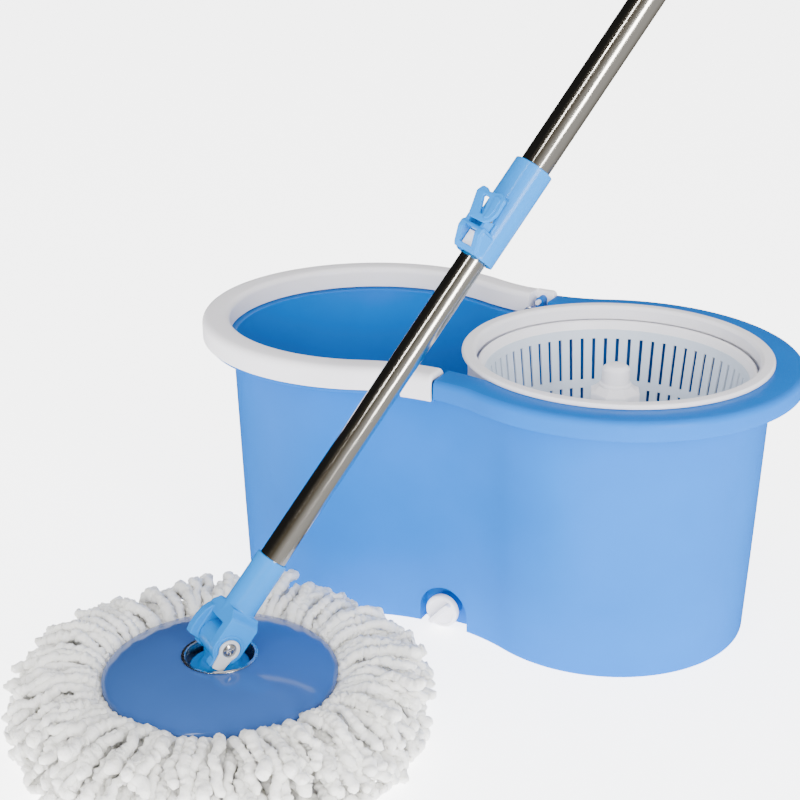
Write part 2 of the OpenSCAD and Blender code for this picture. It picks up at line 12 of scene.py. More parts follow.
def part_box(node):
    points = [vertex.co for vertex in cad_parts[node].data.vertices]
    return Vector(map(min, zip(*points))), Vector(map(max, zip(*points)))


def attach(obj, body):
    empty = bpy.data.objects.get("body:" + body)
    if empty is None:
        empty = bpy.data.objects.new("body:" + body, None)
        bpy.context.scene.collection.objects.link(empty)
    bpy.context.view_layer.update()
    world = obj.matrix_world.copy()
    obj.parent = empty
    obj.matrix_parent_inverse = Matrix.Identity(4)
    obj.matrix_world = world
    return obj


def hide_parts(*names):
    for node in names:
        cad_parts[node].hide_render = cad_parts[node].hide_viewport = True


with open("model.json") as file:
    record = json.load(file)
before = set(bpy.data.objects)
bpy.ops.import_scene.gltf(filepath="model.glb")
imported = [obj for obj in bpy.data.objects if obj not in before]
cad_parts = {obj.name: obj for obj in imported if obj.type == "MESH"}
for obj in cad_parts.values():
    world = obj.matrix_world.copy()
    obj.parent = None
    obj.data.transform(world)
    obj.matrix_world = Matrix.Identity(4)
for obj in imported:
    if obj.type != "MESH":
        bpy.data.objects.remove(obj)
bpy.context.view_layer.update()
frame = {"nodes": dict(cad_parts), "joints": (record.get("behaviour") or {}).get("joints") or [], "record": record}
nodes = frame["nodes"]
joints = {j["name"]: j for j in frame["joints"]}
MM = 0.001
# Points closer than this, in millimetres, are one point
WELD = 0.0004

# ---- Frames and sizes, in millimetres unless a name says otherwise ----

BUCKET_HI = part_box("bucket")[1] / MM
SPIN_LO, SPIN_HI = (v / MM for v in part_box("splash_collar"))
BAIL_LO, BAIL_HI = (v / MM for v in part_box("carry_handle"))
PLUG_LO, PLUG_HI = (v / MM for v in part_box("drain_plug"))

# The bucket: two round lobes joined by the arcs of its waist, whose centres lie on the Y axis
LOBE_X = (SPIN_LO.x + SPIN_HI.x) / 2
WAIST_Y = 235.0
WAIST_SUM = math.hypot(LOBE_X, WAIST_Y)
HALF_ARC = math.degrees(math.atan2(WAIST_Y, -LOBE_X))
RIM_Z = BUCKET_HI.z
RIM_R = BUCKET_HI.x - LOBE_X
BAIL_R = -BAIL_LO.x - LOBE_X
BASE_R = 107.0
WALL_R = 114.5
WALL_T = 2.5
# The wash lobe's flange, under the handle, and where the spin lobe's higher rim starts
FLANGE_Z = 197.7
FLANGE_R = 134.0
STEP_X = 7.5

# The drain, in its arched recess
DRAIN_X = (PLUG_LO.x + PLUG_HI.x) / 2
DRAIN_Z = (PLUG_LO.z + PLUG_HI.z) / 2
RECESS_BACK = -76.0
RECESS_W = 40.0
RECESS_H = 33.0

# The spin basket
SLOTS_ROUND = 64
SLOT_W = 2.6
BASKET_T = 2.0

# The mop head's plate: edge of the cup, height there, fall to the rim and how far out it reaches
CUP_R = 24.0
DOME_Z = 57.0
DOME_FALL = 10.6
DOME_REACH = 54.0

# The lowest strands stop this far above the floor
FLOOR_GAP = 0.3

# The yoke's cheeks, from and to each side of the hinge's middle, and its socket round the tube
CHEEK_IN = 9.2
CHEEK_OUT = 16.8
SOCKET_R = 11.4

# Along the pole from the hinge: tubes, lock, lever pin, grip and the eye to hang it by
TUBE_START = 21.2
TUBE_END = 690.0
TUBE_R = 9.5
TUBE_INNER_R = 8.7
UPPER_START = 330.6
UPPER_END = 1060.0
UPPER_R = 11.0
UPPER_INNER_R = 10.2
LOCK_S = 308.5
LEVER_S = LOCK_S + 24.5
LEVER_X = 20.0
GRIP_START = 935.0
GRIP_END = 1057.0
EYE_S = 1087.0

tilt = joints["pole_tilt"]
POLE_Y = Vector(tilt["axis"]).normalized()
POLE_Z = Vector(joints["pole_telescope"]["axis"]).normalized()
POLE_X = POLE_Y.cross(POLE_Z)
HINGE = Vector(tilt["pos_m"])
HEAD_XY = Vector((HINGE.x, HINGE.y, 0))
LOCK_X = Vector(joints["block_slide"]["axis"]).normalized()
LOCK_Y = POLE_Z.cross(LOCK_X)


def axes(x, y, z, origin):
    """A frame as a matrix whose own unit is the millimetre."""
    m = Matrix((x, y, z)).transposed().to_4x4()
    m.translation = origin
    return m @ Matrix.Scale(MM, 4)


WORLD = Matrix.Scale(MM, 4)
SPIN = Matrix.Translation((LOBE_X * MM, 0, 0)) @ WORLD
HEAD = axes(Vector((POLE_X.x, POLE_X.y, 0)).normalized(), POLE_Y, Vector((0, 0, 1)), HEAD_XY)
POLE = axes(POLE_X, POLE_Y, POLE_Z, HINGE)
LOCK = axes(LOCK_X, LOCK_Y, POLE_Z, HINGE)
# The drain's frame: Z points out of the front through the knob
DRAIN = WORLD @ Matrix(((1, 0, 0, DRAIN_X), (0, 0, -1, 0), (0, 1, 0, DRAIN_Z), (0, 0, 0, 1)))


# ---- Materials ----

def surface(name, colour, rough, spread=0.05, metal=0.0, vary=0.06, grain=900.0, bump=0.03, depth=0.00005,
            patch=14.0, coat=0.0, sheen=0.0, glow=0.0, shine=0.5, stretch=(1, 1, 1)):
    """A procedural material: slow colour drift, uneven roughness and a fine moulded or worked grain.
    colour is scene-linear."""
    mat = bpy.data.materials.new(name)
    mat.use_nodes = True
    tree = mat.node_tree
    bsdf = tree.nodes["Principled BSDF"]
    coord = tree.nodes.new("ShaderNodeTexCoord")
    mapping = tree.nodes.new("ShaderNodeMapping")
    mapping.inputs["Scale"].default_value = stretch
    tree.links.new(coord.outputs["Object"], mapping.inputs["Vector"])

    def noise(scale, detail):
        node = tree.nodes.new("ShaderNodeTexNoise")
        node.inputs["Scale"].default_value = scale
        node.inputs["Detail"].default_value = detail
        tree.links.new(mapping.outputs["Vector"], node.inputs["Vector"])
        return node

    slow = noise(patch, 3)
    fine = noise(grain, 4)
    ramp = tree.nodes.new("ShaderNodeValToRGB")
    ramp.color_ramp.elements[0].position = 0.3
    ramp.color_ramp.elements[1].position = 0.7
    ramp.color_ramp.elements[0].color = (*(c * (1 - vary) for c in colour), 1)
    ramp.color_ramp.elements[1].color = (*(min(1, c * (1 + vary)) for c in colour), 1)
    tree.links.new(slow.outputs["Fac"], ramp.inputs["Fac"])
    tree.links.new(ramp.outputs["Color"], bsdf.inputs["Base Color"])
    spreader = tree.nodes.new("ShaderNodeMapRange")
    spreader.inputs["From Min"].default_value = 0.35
    spreader.inputs["From Max"].default_value = 0.65
    spreader.inputs["To Min"].default_value = max(0.02, rough - spread)
    spreader.inputs["To Max"].default_value = rough + spread
    tree.links.new(fine.outputs["Fac"], spreader.inputs["Value"])
    tree.links.new(spreader.outputs["Result"], bsdf.inputs["Roughness"])
    rise = tree.nodes.new("ShaderNodeBump")
    rise.inputs["Strength"].default_value = bump
    rise.inputs["Distance"].default_value = depth
    tree.links.new(fine.outputs["Fac"], rise.inputs["Height"])
    tree.links.new(rise.outputs["Normal"], bsdf.inputs["Normal"])
    bsdf.inputs["Metallic"].default_value = metal
    bsdf.inputs["Specular IOR Level"].default_value = shine
    bsdf.inputs["Coat Weight"].default_value = coat
    bsdf.inputs["Coat Roughness"].default_value = 0.08
    if sheen:
        bsdf.inputs["Sheen Weight"].default_value = sheen
        bsdf.inputs["Sheen Roughness"].default_value = 0.5
    if glow:
        bsdf.inputs["Subsurface Weight"].default_value = glow
        bsdf.inputs["Subsurface Radius"].default_value = (0.003, 0.003, 0.004)
        bsdf.inputs["Subsurface Scale"].default_value = 1.0
    return mat


# By slot, and basket_tint_and_shade for the basket: its white is cooler and darker than the other white pieces',
# partly the plastic's own grey-blue tint and partly painted shade and painted blue reflection from inside the
# bucket
SLOTS = {
    "bucket_blue": surface("bucket_blue", (0.0008, 0.130, 0.50), 0.33, vary=0.05, bump=0.05, shine=0.10),
    "joint_blue": surface("joint_blue", (0.0008, 0.180, 0.55), 0.20, vary=0.05, bump=0.05, shine=0.3),
    "plate_blue": surface("plate_blue", (0.034, 0.092, 0.285), 0.10, vary=0.05, bump=0.03, shine=0.3),
    "white_plastic": surface("white_plastic", (0.85, 0.83, 0.87), 0.34, vary=0.02, bump=0.05, glow=0.1),
    # Darker and bluer than white_plastic: partly the basket's own tint, partly painted shade and painted blue
    # reflection of the bucket round it
    "basket_tint_and_shade": surface("basket_tint_and_shade", (0.60, 0.67, 0.77), 0.34, vary=0.02, bump=0.05),
    "grey_plastic": surface("grey_plastic", (0.44, 0.45, 0.47), 0.36, vary=0.04, bump=0.06),
    "dark_plastic": surface("dark_plastic", (0.023, 0.023, 0.025), 0.42, vary=0.10, bump=0.08),
    "tube_steel": surface("tube_steel", (0.62, 0.59, 0.53), 0.15, 0.05, metal=1.0, vary=0.04, grain=2600.0,
                          bump=0.05, stretch=(1, 1, 0.02)),
    "steel": surface("steel", (0.60, 0.58, 0.55), 0.22, 0.07, metal=1.0, vary=0.06, grain=2200.0, bump=0.08),
    "brass": surface("brass", (0.62, 0.41, 0.14), 0.26, 0.08, metal=1.0, vary=0.08, grain=2000.0, bump=0.08),
    "seal_rubber": surface("seal_rubber", (0.019, 0.019, 0.021), 0.62, vary=0.12, bump=0.15),
    "grip_foam": surface("grip_foam", (0.008, 0.20, 0.66), 0.66, vary=0.06, grain=1500.0, bump=0.35,
                         depth=0.0002),
    "yarn": surface("yarn", (0.80, 0.79, 0.76), 0.92, vary=0.03, grain=430.0, bump=0.6, depth=0.0016,
                    patch=60.0, sheen=0.25, glow=0.2, shine=0.1),
}
material_of = {p["node"]: p["material_slot"] for p in frame["record"]["subparts"]}


# ---- Building blocks ----

def linked(name, data):
    """A new object in the scene."""
    obj = bpy.data.objects.new(name, data)
    bpy.context.scene.collection.objects.link(obj)
    return obj


def mesh_object(name, verts, faces):
    """A cleaned mesh as an unplaced object, in millimetres."""
    mesh = bpy.data.meshes.new(name)
    mesh.from_pydata([tuple(v) for v in verts], [], faces)
    obj = linked(name, mesh)
    clean(mesh)
    return obj


def piece(name, verts, faces, matrix, body, slot, angle=38, replaces=()):
    """Makes a mesh piece from points in a millimetre frame and sets it on its body."""
    return settle(mesh_object(name, verts, faces), matrix, body, slot, angle, replaces)


def clean(mesh):
    """Welds points that lie on each other and turns the faces outwards."""
    bm = bmesh.new()
    bm.from_mesh(mesh)
    bmesh.ops.remove_doubles(bm, verts=bm.verts, dist=WELD)
    bmesh.ops.recalc_face_normals(bm, faces=bm.faces)
    bm.to_mesh(mesh)
    bm.free()


def settle(obj, matrix, body, slot, angle=38, replaces=(), look=None):
    """Scales a piece's mesh from millimetres, places it, shades it and lets it ride on its body.
    look names another material than the slot's own."""
    obj.data.transform(Matrix.Scale(MM, 4))
    obj.matrix_world = matrix @ Matrix.Scale(1 / MM, 4)
    for p in obj.data.polygons:
        p.use_smooth = True
    obj.data.set_sharp_from_angle(angle=math.radians(angle))
    obj.data.materials.clear()
    obj.data.materials.append(SLOTS[look or slot])
    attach(obj, body)
    if replaces:
        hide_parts(*replaces)
    return obj


def baked(obj):
    """Applies an object's modifiers and returns it."""
    bpy.context.view_layer.update()
    depsgraph = bpy.context.evaluated_depsgraph_get()
    mesh = bpy.data.meshes.new_from_object(obj.evaluated_get(depsgraph))
    obj.modifiers.clear()
    old = obj.data
    obj.data = mesh
    if old.users == 0:
        bpy.data.meshes.remove(old)
    return obj


def rough_object(name, bm):
    """A bmesh as an unplaced object, in millimetres."""
    mesh = bpy.data.meshes.new(name)
    bm.to_mesh(mesh)
    bm.free()
    return linked(name, mesh)


def rounded(corners, arc=5, closed=True):
    """The outline through corners (a, b) or (a, b, fillet), with each fillet as an arc."""
    out = []
    count = len(corners)
    for i, corner in enumerate(corners):
        p = Vector(corner[:2])
        fillet = corner[2] if len(corner) > 2 else 0
        if fillet <= 0 or (not closed and i in (0, count - 1)):
            out.append(p)
            continue
        before = Vector(corners[i - 1][:2]) - p
        after = Vector(corners[(i + 1) % count][:2]) - p
        u, v = before.normalized(), after.normalized()
        half = max(1e-3, u.angle(v) / 2)
        t = min(fillet / math.tan(half), 0.49 * before.length, 0.49 * after.length)
        radius = t * math.tan(half)
        centre = p + (u + v).normalized() * (radius / math.sin(half))
        start, end = p + u * t - centre, p + v * t - centre
        sweep = start.angle(end) if start.length > 1e-9 else 0
        turn = 1 if start.x * end.y - start.y * end.x > 0 else -1
        for k in range(arc + 1):
            a = turn * sweep * k / arc
            out.append(centre + Vector((start.x * math.cos(a) - start.y * math.sin(a),
                                        start.x * math.sin(a) + start.y * math.cos(a))))
    return out


def skin(rings, wrap_rings, wrap_points, caps=False):
    """Quads between rings of points, as verts and faces."""
    n = len(rings[0])
    verts = [v for ring in rings for v in ring]
    faces = []
    last = len(rings) if wrap_rings else len(rings) - 1
    for i in range(last):
        j = (i + 1) % len(rings)
        for k in range(n if wrap_points else n - 1):
            m = (k + 1) % n
            faces.append((i * n + k, i * n + m, j * n + m, j * n + k))
    if caps:
        faces.append(tuple(range(n)))
        faces.append(tuple((len(rings) - 1) * n + k for k in reversed(range(n))))
    return verts, faces


def turned(profile, segments=128):
    """A closed profile of (radius, height) points swept round Z, as verts and faces."""
    rings = []
    for i in range(segments):
        a = 2 * math.pi * i / segments
        rings.append([Vector((p[0] * math.cos(a), p[0] * math.sin(a), p[1])) for p in profile])
    return skin(rings, True, True)


def lathe(name, corners, matrix, body, slot, segments=128, arc=5, angle=38, replaces=()):
    """A closed outline of (radius, height[, fillet]) corners turned round Z, as a piece."""
    verts, faces = turned(rounded(corners, arc), segments)
    return piece(name, verts, faces, matrix, body, slot, angle, replaces)


def plate(name, loops, thickness, bevel, matrix, body, slot, replaces=(), angle=50):
    """A flat piece with bevelled edges, cut to outlines in its own XY plane; later loops are holes."""
    curve = bpy.data.curves.new(name, "CURVE")
    curve.dimensions = "2D"
    curve.fill_mode = "BOTH"
    curve.extrude = thickness / 2 - bevel
    curve.bevel_depth = bevel
    curve.bevel_resolution = 3
    curve.offset = -bevel
    for loop in loops:
        spline = curve.splines.new("POLY")
        spline.points.add(len(loop) - 1)
        for point, p in zip(spline.points, loop):
            point.co = (p[0], p[1], 0, 1)
        spline.use_cyclic_u = True
    shape = linked(name + "_curve", curve)
    bpy.context.view_layer.update()
    mesh = bpy.data.meshes.new_from_object(shape.evaluated_get(bpy.context.evaluated_depsgraph_get()))
    bpy.data.objects.remove(shape)
    obj = linked(name, mesh)
    clean(mesh)
    return settle(obj, matrix, body, slot, angle, replaces)


def solid_cylinder(bm, r1, r2, a, b, segments=64):
    """A closed cone or cylinder from point a to point b."""
    a, b = Vector(a), Vector(b)
    along = b - a
    turn = along.to_track_quat("Z", "Y").to_matrix().to_4x4()
    where = Matrix.Translation((a + b) / 2) @ turn
    bmesh.ops.create_cone(bm, cap_ends=True, segments=segments, radius1=r1, radius2=r2,
                          depth=along.length, matrix=where)


def solid_box(bm, lo, hi, turn=None):
    """A closed box between two corners, turned about the origin if turn is given."""
    lo, hi = Vector(lo), Vector(hi)
    size = hi - lo
    m = Matrix.Translation((lo + hi) / 2) @ Matrix.Diagonal((size.x, size.y, size.z, 1))
    bmesh.ops.create_cube(bm, size=1, matrix=(turn @ m) if turn else m)


def solid_prism(bm, outline, y0, y1):
    """An outline in the XZ plane made solid between two places along Y."""
    rings = [[Vector((p[0], y, p[1])) for p in outline] for y in (y0, y1)]
    verts, faces = skin(rings, False, True, caps=True)
    made = [bm.verts.new(v) for v in verts]
    new = [bm.faces.new([made[i] for i in f]) for f in faces]
    bmesh.ops.recalc_face_normals(bm, faces=new)


def fused(name, bm, voxel, smoothing):
    """Melts overlapping closed solids into one moulded body with soft inside and outside corners."""
    obj = rough_object(name, bm)
    remesh = obj.modifiers.new("melt", "REMESH")
    remesh.mode = "VOXEL"
    remesh.voxel_size = voxel
    soft = obj.modifiers.new("soften", "SMOOTH")
    soft.factor = 0.5
    soft.iterations = smoothing
    return baked(obj)


def cut(obj, bm, crossed=False):
    """Takes the solids in a bmesh away from an object that is still in millimetres."""
    cutter = rough_object("cutter", bm)
    boolean = obj.modifiers.new("cut", "BOOLEAN")
    boolean.operation = "DIFFERENCE"
    boolean.solver = "EXACT"
    boolean.use_self = crossed
    boolean.object = cutter
    baked(obj)
    bpy.data.objects.remove(cutter)


def soften(obj, width, segments=3, angle=35):
    """Rounds the edges sharper than an angle, over a width in millimetres."""
    bevel = obj.modifiers.new("edges", "BEVEL")
    bevel.width = width * MM
    bevel.segments = segments
    bevel.limit_method = "ANGLE"
    bevel.angle_limit = math.radians(angle)
    bevel.harden_normals = False


# ---- Outline of the bucket ----

# Stations along the waist, close together where the rim steps up and where the handle's end begins
FIXED_X = [-30, -26, -22, -20, -18.6, -18.1, -17.6, -17.1, -15, -12, -10.4, -10, -9.6, -9.2, -6, -3, 0, 2,
           3.5, 4.2, 4.9, 5.5, 5.9, 6.0, 6.6, 7.0, 7.2, 7.35, 7.5, 7.65, 7.8, 8.0, 9, 12, 15, 18, 22, 26, 30]
WAIST_END = FIXED_X[-1]
RAMP_STEPS = 6
LOBE_STEPS = 112
# The handle ends at this station
BAIL_END = 6.0


def waist_point(x, side, radius):
    """Where the waist of that lobe radius is at x, on the front (side -1) or the back."""
    reach = WAIST_SUM - radius
    return Vector((x, side * (WAIST_Y - math.sqrt(reach * reach - x * x))))


def waist_specs(side):
    """Stations of the waist, in the order that goes round the bucket anticlockwise."""
    into = [("ramp", side, -1, 1 - k / RAMP_STEPS) for k in range(1, RAMP_STEPS)]
    fixed = [("x", side, x) for x in FIXED_X]
    out = [("ramp", side, 1, k / RAMP_STEPS) for k in range(1, RAMP_STEPS)]
    specs = into + fixed + out
    return specs if side < 0 else specs[::-1]


def lobe_specs(side):
    """Stations round a lobe, anticlockwise."""
    start = -HALF_ARC if side > 0 else 180 - HALF_ARC
    turns = [math.radians(start + 2 * HALF_ARC * k / LOBE_STEPS) for k in range(LOBE_STEPS + 1)]
    return [("lobe", side, turn) for turn in turns]


OUTLINE = waist_specs(-1) + lobe_specs(1) + waist_specs(1) + lobe_specs(-1)


def at(spec, radius):
    """Where the outline of that lobe radius passes a station."""
    kind, side, value = spec[:3]
    if kind == "lobe":
        return Vector((side * LOBE_X + radius * math.cos(value), radius * math.sin(value)))
    if kind == "x":
        return waist_point(value, side, radius)
    reach = (WAIST_SUM - radius) * LOBE_X / WAIST_SUM
    x = value * (WAIST_END + (reach - WAIST_END) * spec[3])
    return waist_point(x, side, radius)


def ease(t):
    """A smooth step from 0 to 1."""
    t = min(1, max(0, t))
    return t * t * (3 - 2 * t)


def wall_at(z):
    """Outer radius of a lobe's tapered wall."""
    return BASE_R + (WALL_R - BASE_R) * z / RIM_Z


# ---- Bucket ----

def bucket_mesh():
    """The shell: its section blends from the wash lobe's to the spin lobe's in a short step of the waist."""
    foot = [(102, 1.6), (103.4, 0.3, 0.6), (BASE_R - 0.3, 0, 2.6), (wall_at(60), 60), (wall_at(125), 125)]
    inner = [(wall_at(120) - WALL_T, 120), (wall_at(50) - WALL_T, 50), (BASE_R - WALL_T, 3, 5), (97, 3)]
    under, skirt_z, skirt_r = RIM_Z - 2.2, 198.3, RIM_R - 2.2
    spin = foot + [(wall_at(under), under, 2.2), (skirt_r, under, 1.6), (skirt_r, skirt_z, 0.5),
                   (RIM_R, skirt_z, 0.8), (RIM_R, RIM_Z, 4.8), (WALL_R - WALL_T, RIM_Z, 0.9)] + inner
    under = FLANGE_Z - 2.2
    wash = foot + [(wall_at(under), under, 1.6), (129, under, 0.3), (131.5, under, 0.3),
                   (FLANGE_R, under, 0.6), (FLANGE_R, FLANGE_Z, 0.8),
                   (wall_at(FLANGE_Z) - WALL_T, FLANGE_Z, 0.7)] + inner
    spin_line, wash_line = rounded(spin, 5, False), rounded(wash, 5, False)
    rings = []
    for spec in OUTLINE:
        x = at(spec, 125).x
        w = ease((x - STEP_X + 0.35) / 0.7)
        ring = []
        for a, b in zip(wash_line, spin_line):
            p = a.lerp(b, w)
            q = at(spec, p.x)
            ring.append(Vector((q.x, q.y, p.y)))
        rings.append(ring)
    verts, faces = skin(rings, True, False)
    n = len(spin_line)
    faces.append(tuple(i * n for i in range(len(rings))))
    faces.append(tuple(i * n + n - 1 for i in reversed(range(len(rings)))))
    return verts, faces


def arch_outline(half, height, bottom, steps=28):
    """A round-topped doorway as (x, z) points."""
    top = height - half
    line = [(-half, bottom)] + [(half * math.cos(a), top + half * math.sin(a))
                                for a in (math.pi * (1 - k / steps) for k in range(steps + 1))]
    return line + [(half, bottom)]


def build_bucket():
    verts, faces = bucket_mesh()
    obj = mesh_object("bucket_body", verts, faces)
    bm = bmesh.new()
    outline = [(x + DRAIN_X, z) for x, z in arch_outline(RECESS_W / 2, RECESS_H, -4)]
    solid_prism(bm, outline, -100, RECESS_BACK)
    cut(obj, bm)
    settle(obj, WORLD, "bucket_base", "bucket_blue", 32, ["bucket"])
    soften(obj, 0.45, 2, 50)

    # Lining of the drain recess: side wall and back
    inner = arch_outline(RECESS_W / 2 + 0.15, RECESS_H + 0.15, 0.2)
    outer = arch_outline(RECESS_W / 2 + WALL_T, RECESS_H + WALL_T, 0.2)
    rings = []
    for a, b in zip(inner, outer):
        line = [(a, -85.6), (a, RECESS_BACK), (b, RECESS_BACK), (b, -85.6)]
        rings.append([Vector((p[0] + DRAIN_X, y, p[1])) for p, y in line])
    verts, faces = skin(rings, False, True, caps=True)
    piece("recess_wall", verts, faces, WORLD, "bucket_base", "bucket_blue")
    rings = [[Vector((p[0] + DRAIN_X, y, p[1])) for p in outer]
             for y in (RECESS_BACK - 0.01, RECESS_BACK + WALL_T)]
    verts, faces = skin(rings, False, True, caps=True)
    piece("recess_back", verts, faces, WORLD, "bucket_base", "bucket_blue")

    spout = [(8, 75.6), (10.5, 75.6), (10.5, 84, 0.9), (8, 84, 0.6)]
    lathe("drain_spout", spout, DRAIN, "bucket_base", "bucket_blue", 72)

    # Lugs that carry the handle's pins
    pivot = Vector(joints["handle_swing"]["pos_m"]) / MM
    lug_y = 105.5
    for side, label in ((-1, "front"), (1, "back")):
        bm = bmesh.new()
        y0, y1 = side * lug_y - 6, side * lug_y + 6
        solid_cylinder(bm, 3.4, 3.4, (pivot.x, y0, pivot.z), (pivot.x, y1, pivot.z), 40)
        solid_box(bm, (pivot.x - 3.4, y0, FLANGE_Z - 0.8), (pivot.x + 3.4, y1, pivot.z))
        solid_box(bm, (pivot.x - 5.2, y0 + 1.5, FLANGE_Z - 0.8), (pivot.x + 5.2, y1 - 1.5, FLANGE_Z + 1.2))
        lug = fused("pivot_lug_" + label, bm, 0.28, 3)
        bm = bmesh.new()
        solid_cylinder(bm, 2.03, 2.03, (pivot.x, y0 - 3, pivot.z), (pivot.x, y1 + 3, pivot.z), 40)
        cut(lug, bm)
        settle(lug, WORLD, "bucket_base", "bucket_blue", 45)


def build_drain():
    knob = [(0.01, 73), (6.6, 73, 0.6), (7.7, 76, 0.4), (7.7, 85.3), (12.6, 85.5, 0.8), (13, 87.5, 0.5),
            (13, 91, 1.6), (10.8, 92, 0.8), (9.6, 91.2, 0.6), (0.01, 91.2)]
    lathe("drain_knob", knob, DRAIN, "plug", "white_plastic", 96, replaces=["drain_plug"])
    turn = Matrix.Rotation(math.radians(-42), 4, "Z") @ Matrix.Translation((0, 0, 93.4))
    outline = rounded([(-2.1, -11.6, 1.8), (2.1, -11.6, 1.8), (2.1, 11.6, 1.8), (-2.1, 11.6, 1.8)], 6)
    plate("drain_finger_bar", [outline], 6.0, 0.9, DRAIN @ turn, "plug", "white_plastic")
    seal = [(8.15, 84.2, 0.2), (10.5, 84.2, 0.5), (10.5, 85.4, 0.5), (8.15, 85.4, 0.2)]
    lathe("drain_seal", seal, DRAIN, "plug", "seal_rubber", 72, replaces=["drain_gasket"])


# ---- Carry handle ----

def build_handle():
    top, low = BAIL_HI.z, BAIL_LO.z
    front, back = ([s for s in waist_specs(side) if s[2] <= (BAIL_END if s[0] == "x" else 0)]
                   for side in (-1, 1))
    stations = front[::-1] + lobe_specs(-1)[::-1] + back[::-1]
    rings = []
    for spec in stations:
        x = at(spec, 125).x if spec[0] == "lobe" else (spec[2] if spec[0] == "x" else -40)
        block = ease((x + 18.4) / 1.2)
        tip = max(0.0, (x - BAIL_END + 2.8) / 2.8)
        drop = 2.4 * (1 - math.sqrt(max(0, 1 - tip * tip)))
        skirt = low + 5.0 * ease((x + 16) / 2)
        foot = low - 2.6 * block
        groove = 0.35 * math.exp(-((x + 18.0) / 0.7) ** 2)
        r = BAIL_R - groove + 0.35 * block
        # At the back the top is open over the lug, and only the outer wall runs on
        at_back = spec[0] == "x" and spec[1] > 0
        inner_r = BAIL_R - 21.6 + (13.5 * ease((x + 10.4) / 1.2) if at_back else 0)
        wall, ceiling = 2.4, top - 3.2 - drop * 0.5
        corners = [(r - 0.2, foot, 0.8), (r, top - drop, 6.0), (inner_r, top - drop, 4.6),
                   (inner_r, skirt, 0.7), (inner_r + wall, skirt, 0.7), (inner_r + wall, ceiling, 2.0),
                   (BAIL_R - wall, ceiling, 2.0), (BAIL_R - wall, foot, 0.7)]
        ring = []
        for p in rounded(corners, 6):
            q = at(spec, p.x)
            ring.append(Vector((q.x, q.y, p.y)))
        rings.append(ring)
    verts, faces = skin(rings, False, True, caps=True)
    obj = piece("handle_band", verts, faces, WORLD, "handle", "white_plastic", 42, ["carry_handle"])
    soften(obj, 0.5, 3, 60)


# ---- Spin basket, post and collar ----

def basket_radius(z):
    """Outer radius of the basket's tapered wall."""
    return 88 + (z - 115) * 11 / 82


def build_basket():
    # Heights of the wall's rings of points; the faces of a slot are left out between two of them
    heights = [114.6, 120, 125, 135, 145, 151, 157.5, 163, 172, 182, 191, 194, 198.2]
    rows = ((120, 151), (157.5, 191))
    pitch = 2 * math.pi / SLOTS_ROUND
    half = math.asin(SLOT_W / 2 / basket_radius(167))
    bar = pitch - 2 * half
    angles = []
    for i in range(SLOTS_ROUND):
        start, end = (i + 0.5) * pitch - half, (i + 0.5) * pitch + half
        angles += [start, end, end + bar * 0.33, end + bar * 0.67]
    rings = [[Vector((basket_radius(z) * math.cos(a), basket_radius(z) * math.sin(a), z)) for a in angles]
             for z in heights]
    n = len(angles)
    verts, quads = skin(rings, False, True)
    faces = []
    for i, quad in enumerate(quads):
        level, k = divmod(i, n)
        z = (heights[level] + heights[level + 1]) / 2
        in_slot = k % 4 == 0 and any(low < z < high for low, high in rows)
        if not in_slot:
            faces.append(quad)
    obj = mesh_object("slotted_wall", verts, faces)
    first = obj.data.polygons[0]
    wall = obj.modifiers.new("wall", "SOLIDIFY")
    wall.thickness = BASKET_T
    wall.offset = -1 if first.normal.dot(first.center * Vector((1, 1, 0))) > 0 else 1
    wall.use_even_offset = True
    baked(obj)
    settle(obj, SPIN, "basket", "white_plastic", 40, ["basket_wall"], look="basket_tint_and_shade")
    soften(obj, 0.35, 2, 50)

    rim = [(97, 196.6, 0.3), (99.1, 196.6, 0.3), (103, 202, 1.0), (103, 204, 0.9), (102, 205, 0.8),
           (99.8, 204, 0.8)]
    lathe("basket_rim", rim, SPIN, "basket", "white_plastic", 192)
    floor = [(16.9, 110, 0.3), (82, 110, 2.0), (88.2, 115.2, 0.5), (86.2, 116, 0.5), (81, 112.6, 2.0),
             (18.5, 112.6, 2.5), (18.5, 175, 1.5), (7, 175, 0.3), (7, 172.9, 0.3), (16.9, 172.9, 0.6)]
    verts, faces = turned(rounded(floor, 4), 144)
    obj = mesh_object("basket_floor", verts, faces)
    bm = bmesh.new()
    for i in range(12):
        a = math.radians(i * 30)
        for r in (34, 52, 70):
            x, y = r * math.cos(a), r * math.sin(a)
            solid_cylinder(bm, 3, 3, (x, y, 105), (x, y, 118), 24)
    cut(obj, bm)
    settle(obj, SPIN, "basket", "white_plastic", 40, ["spin_basket"], look="basket_tint_and_shade")
    soften(obj, 0.3, 2, 60)

    # Ribs inside the column that fit the hub's flats
    bm = bmesh.new()
    for i in range(6):
        solid_box(bm, (13.9, -3, 111), (17.2, 3, 160), Matrix.Rotation(math.radians(30 + 60 * i), 4, "Z"))
    ribs = rough_object("basket_key_ribs", bm)
    settle(ribs, SPIN, "basket", "white_plastic", look="basket_tint_and_shade")
    soften(ribs, 0.3, 2)


def build_post():
    flange = [(0.01, 175.02), (19.5, 175.02, 0.8), (19.5, 183.6, 1.4), (17.2, 184.4, 0.5),
              (11.4, 188.8, 1.0), (0.01, 188.8)]
    obj = lathe("post_flange", flange, SPIN, "basket", "white_plastic", 8, angle=30, replaces=["drive_post"])
    soften(obj, 0.7, 3, 25)
    cap = [(0.01, 186), (12.2, 186), (12.2, 189.4, 1.6), (10.7, 190.2, 1.0), (10.3, 201.2, 2.6),
           (7.2, 203.6, 2.0), (0.01, 204.2)]
    lathe("post_cap", cap, SPIN, "basket", "white_plastic", 96)


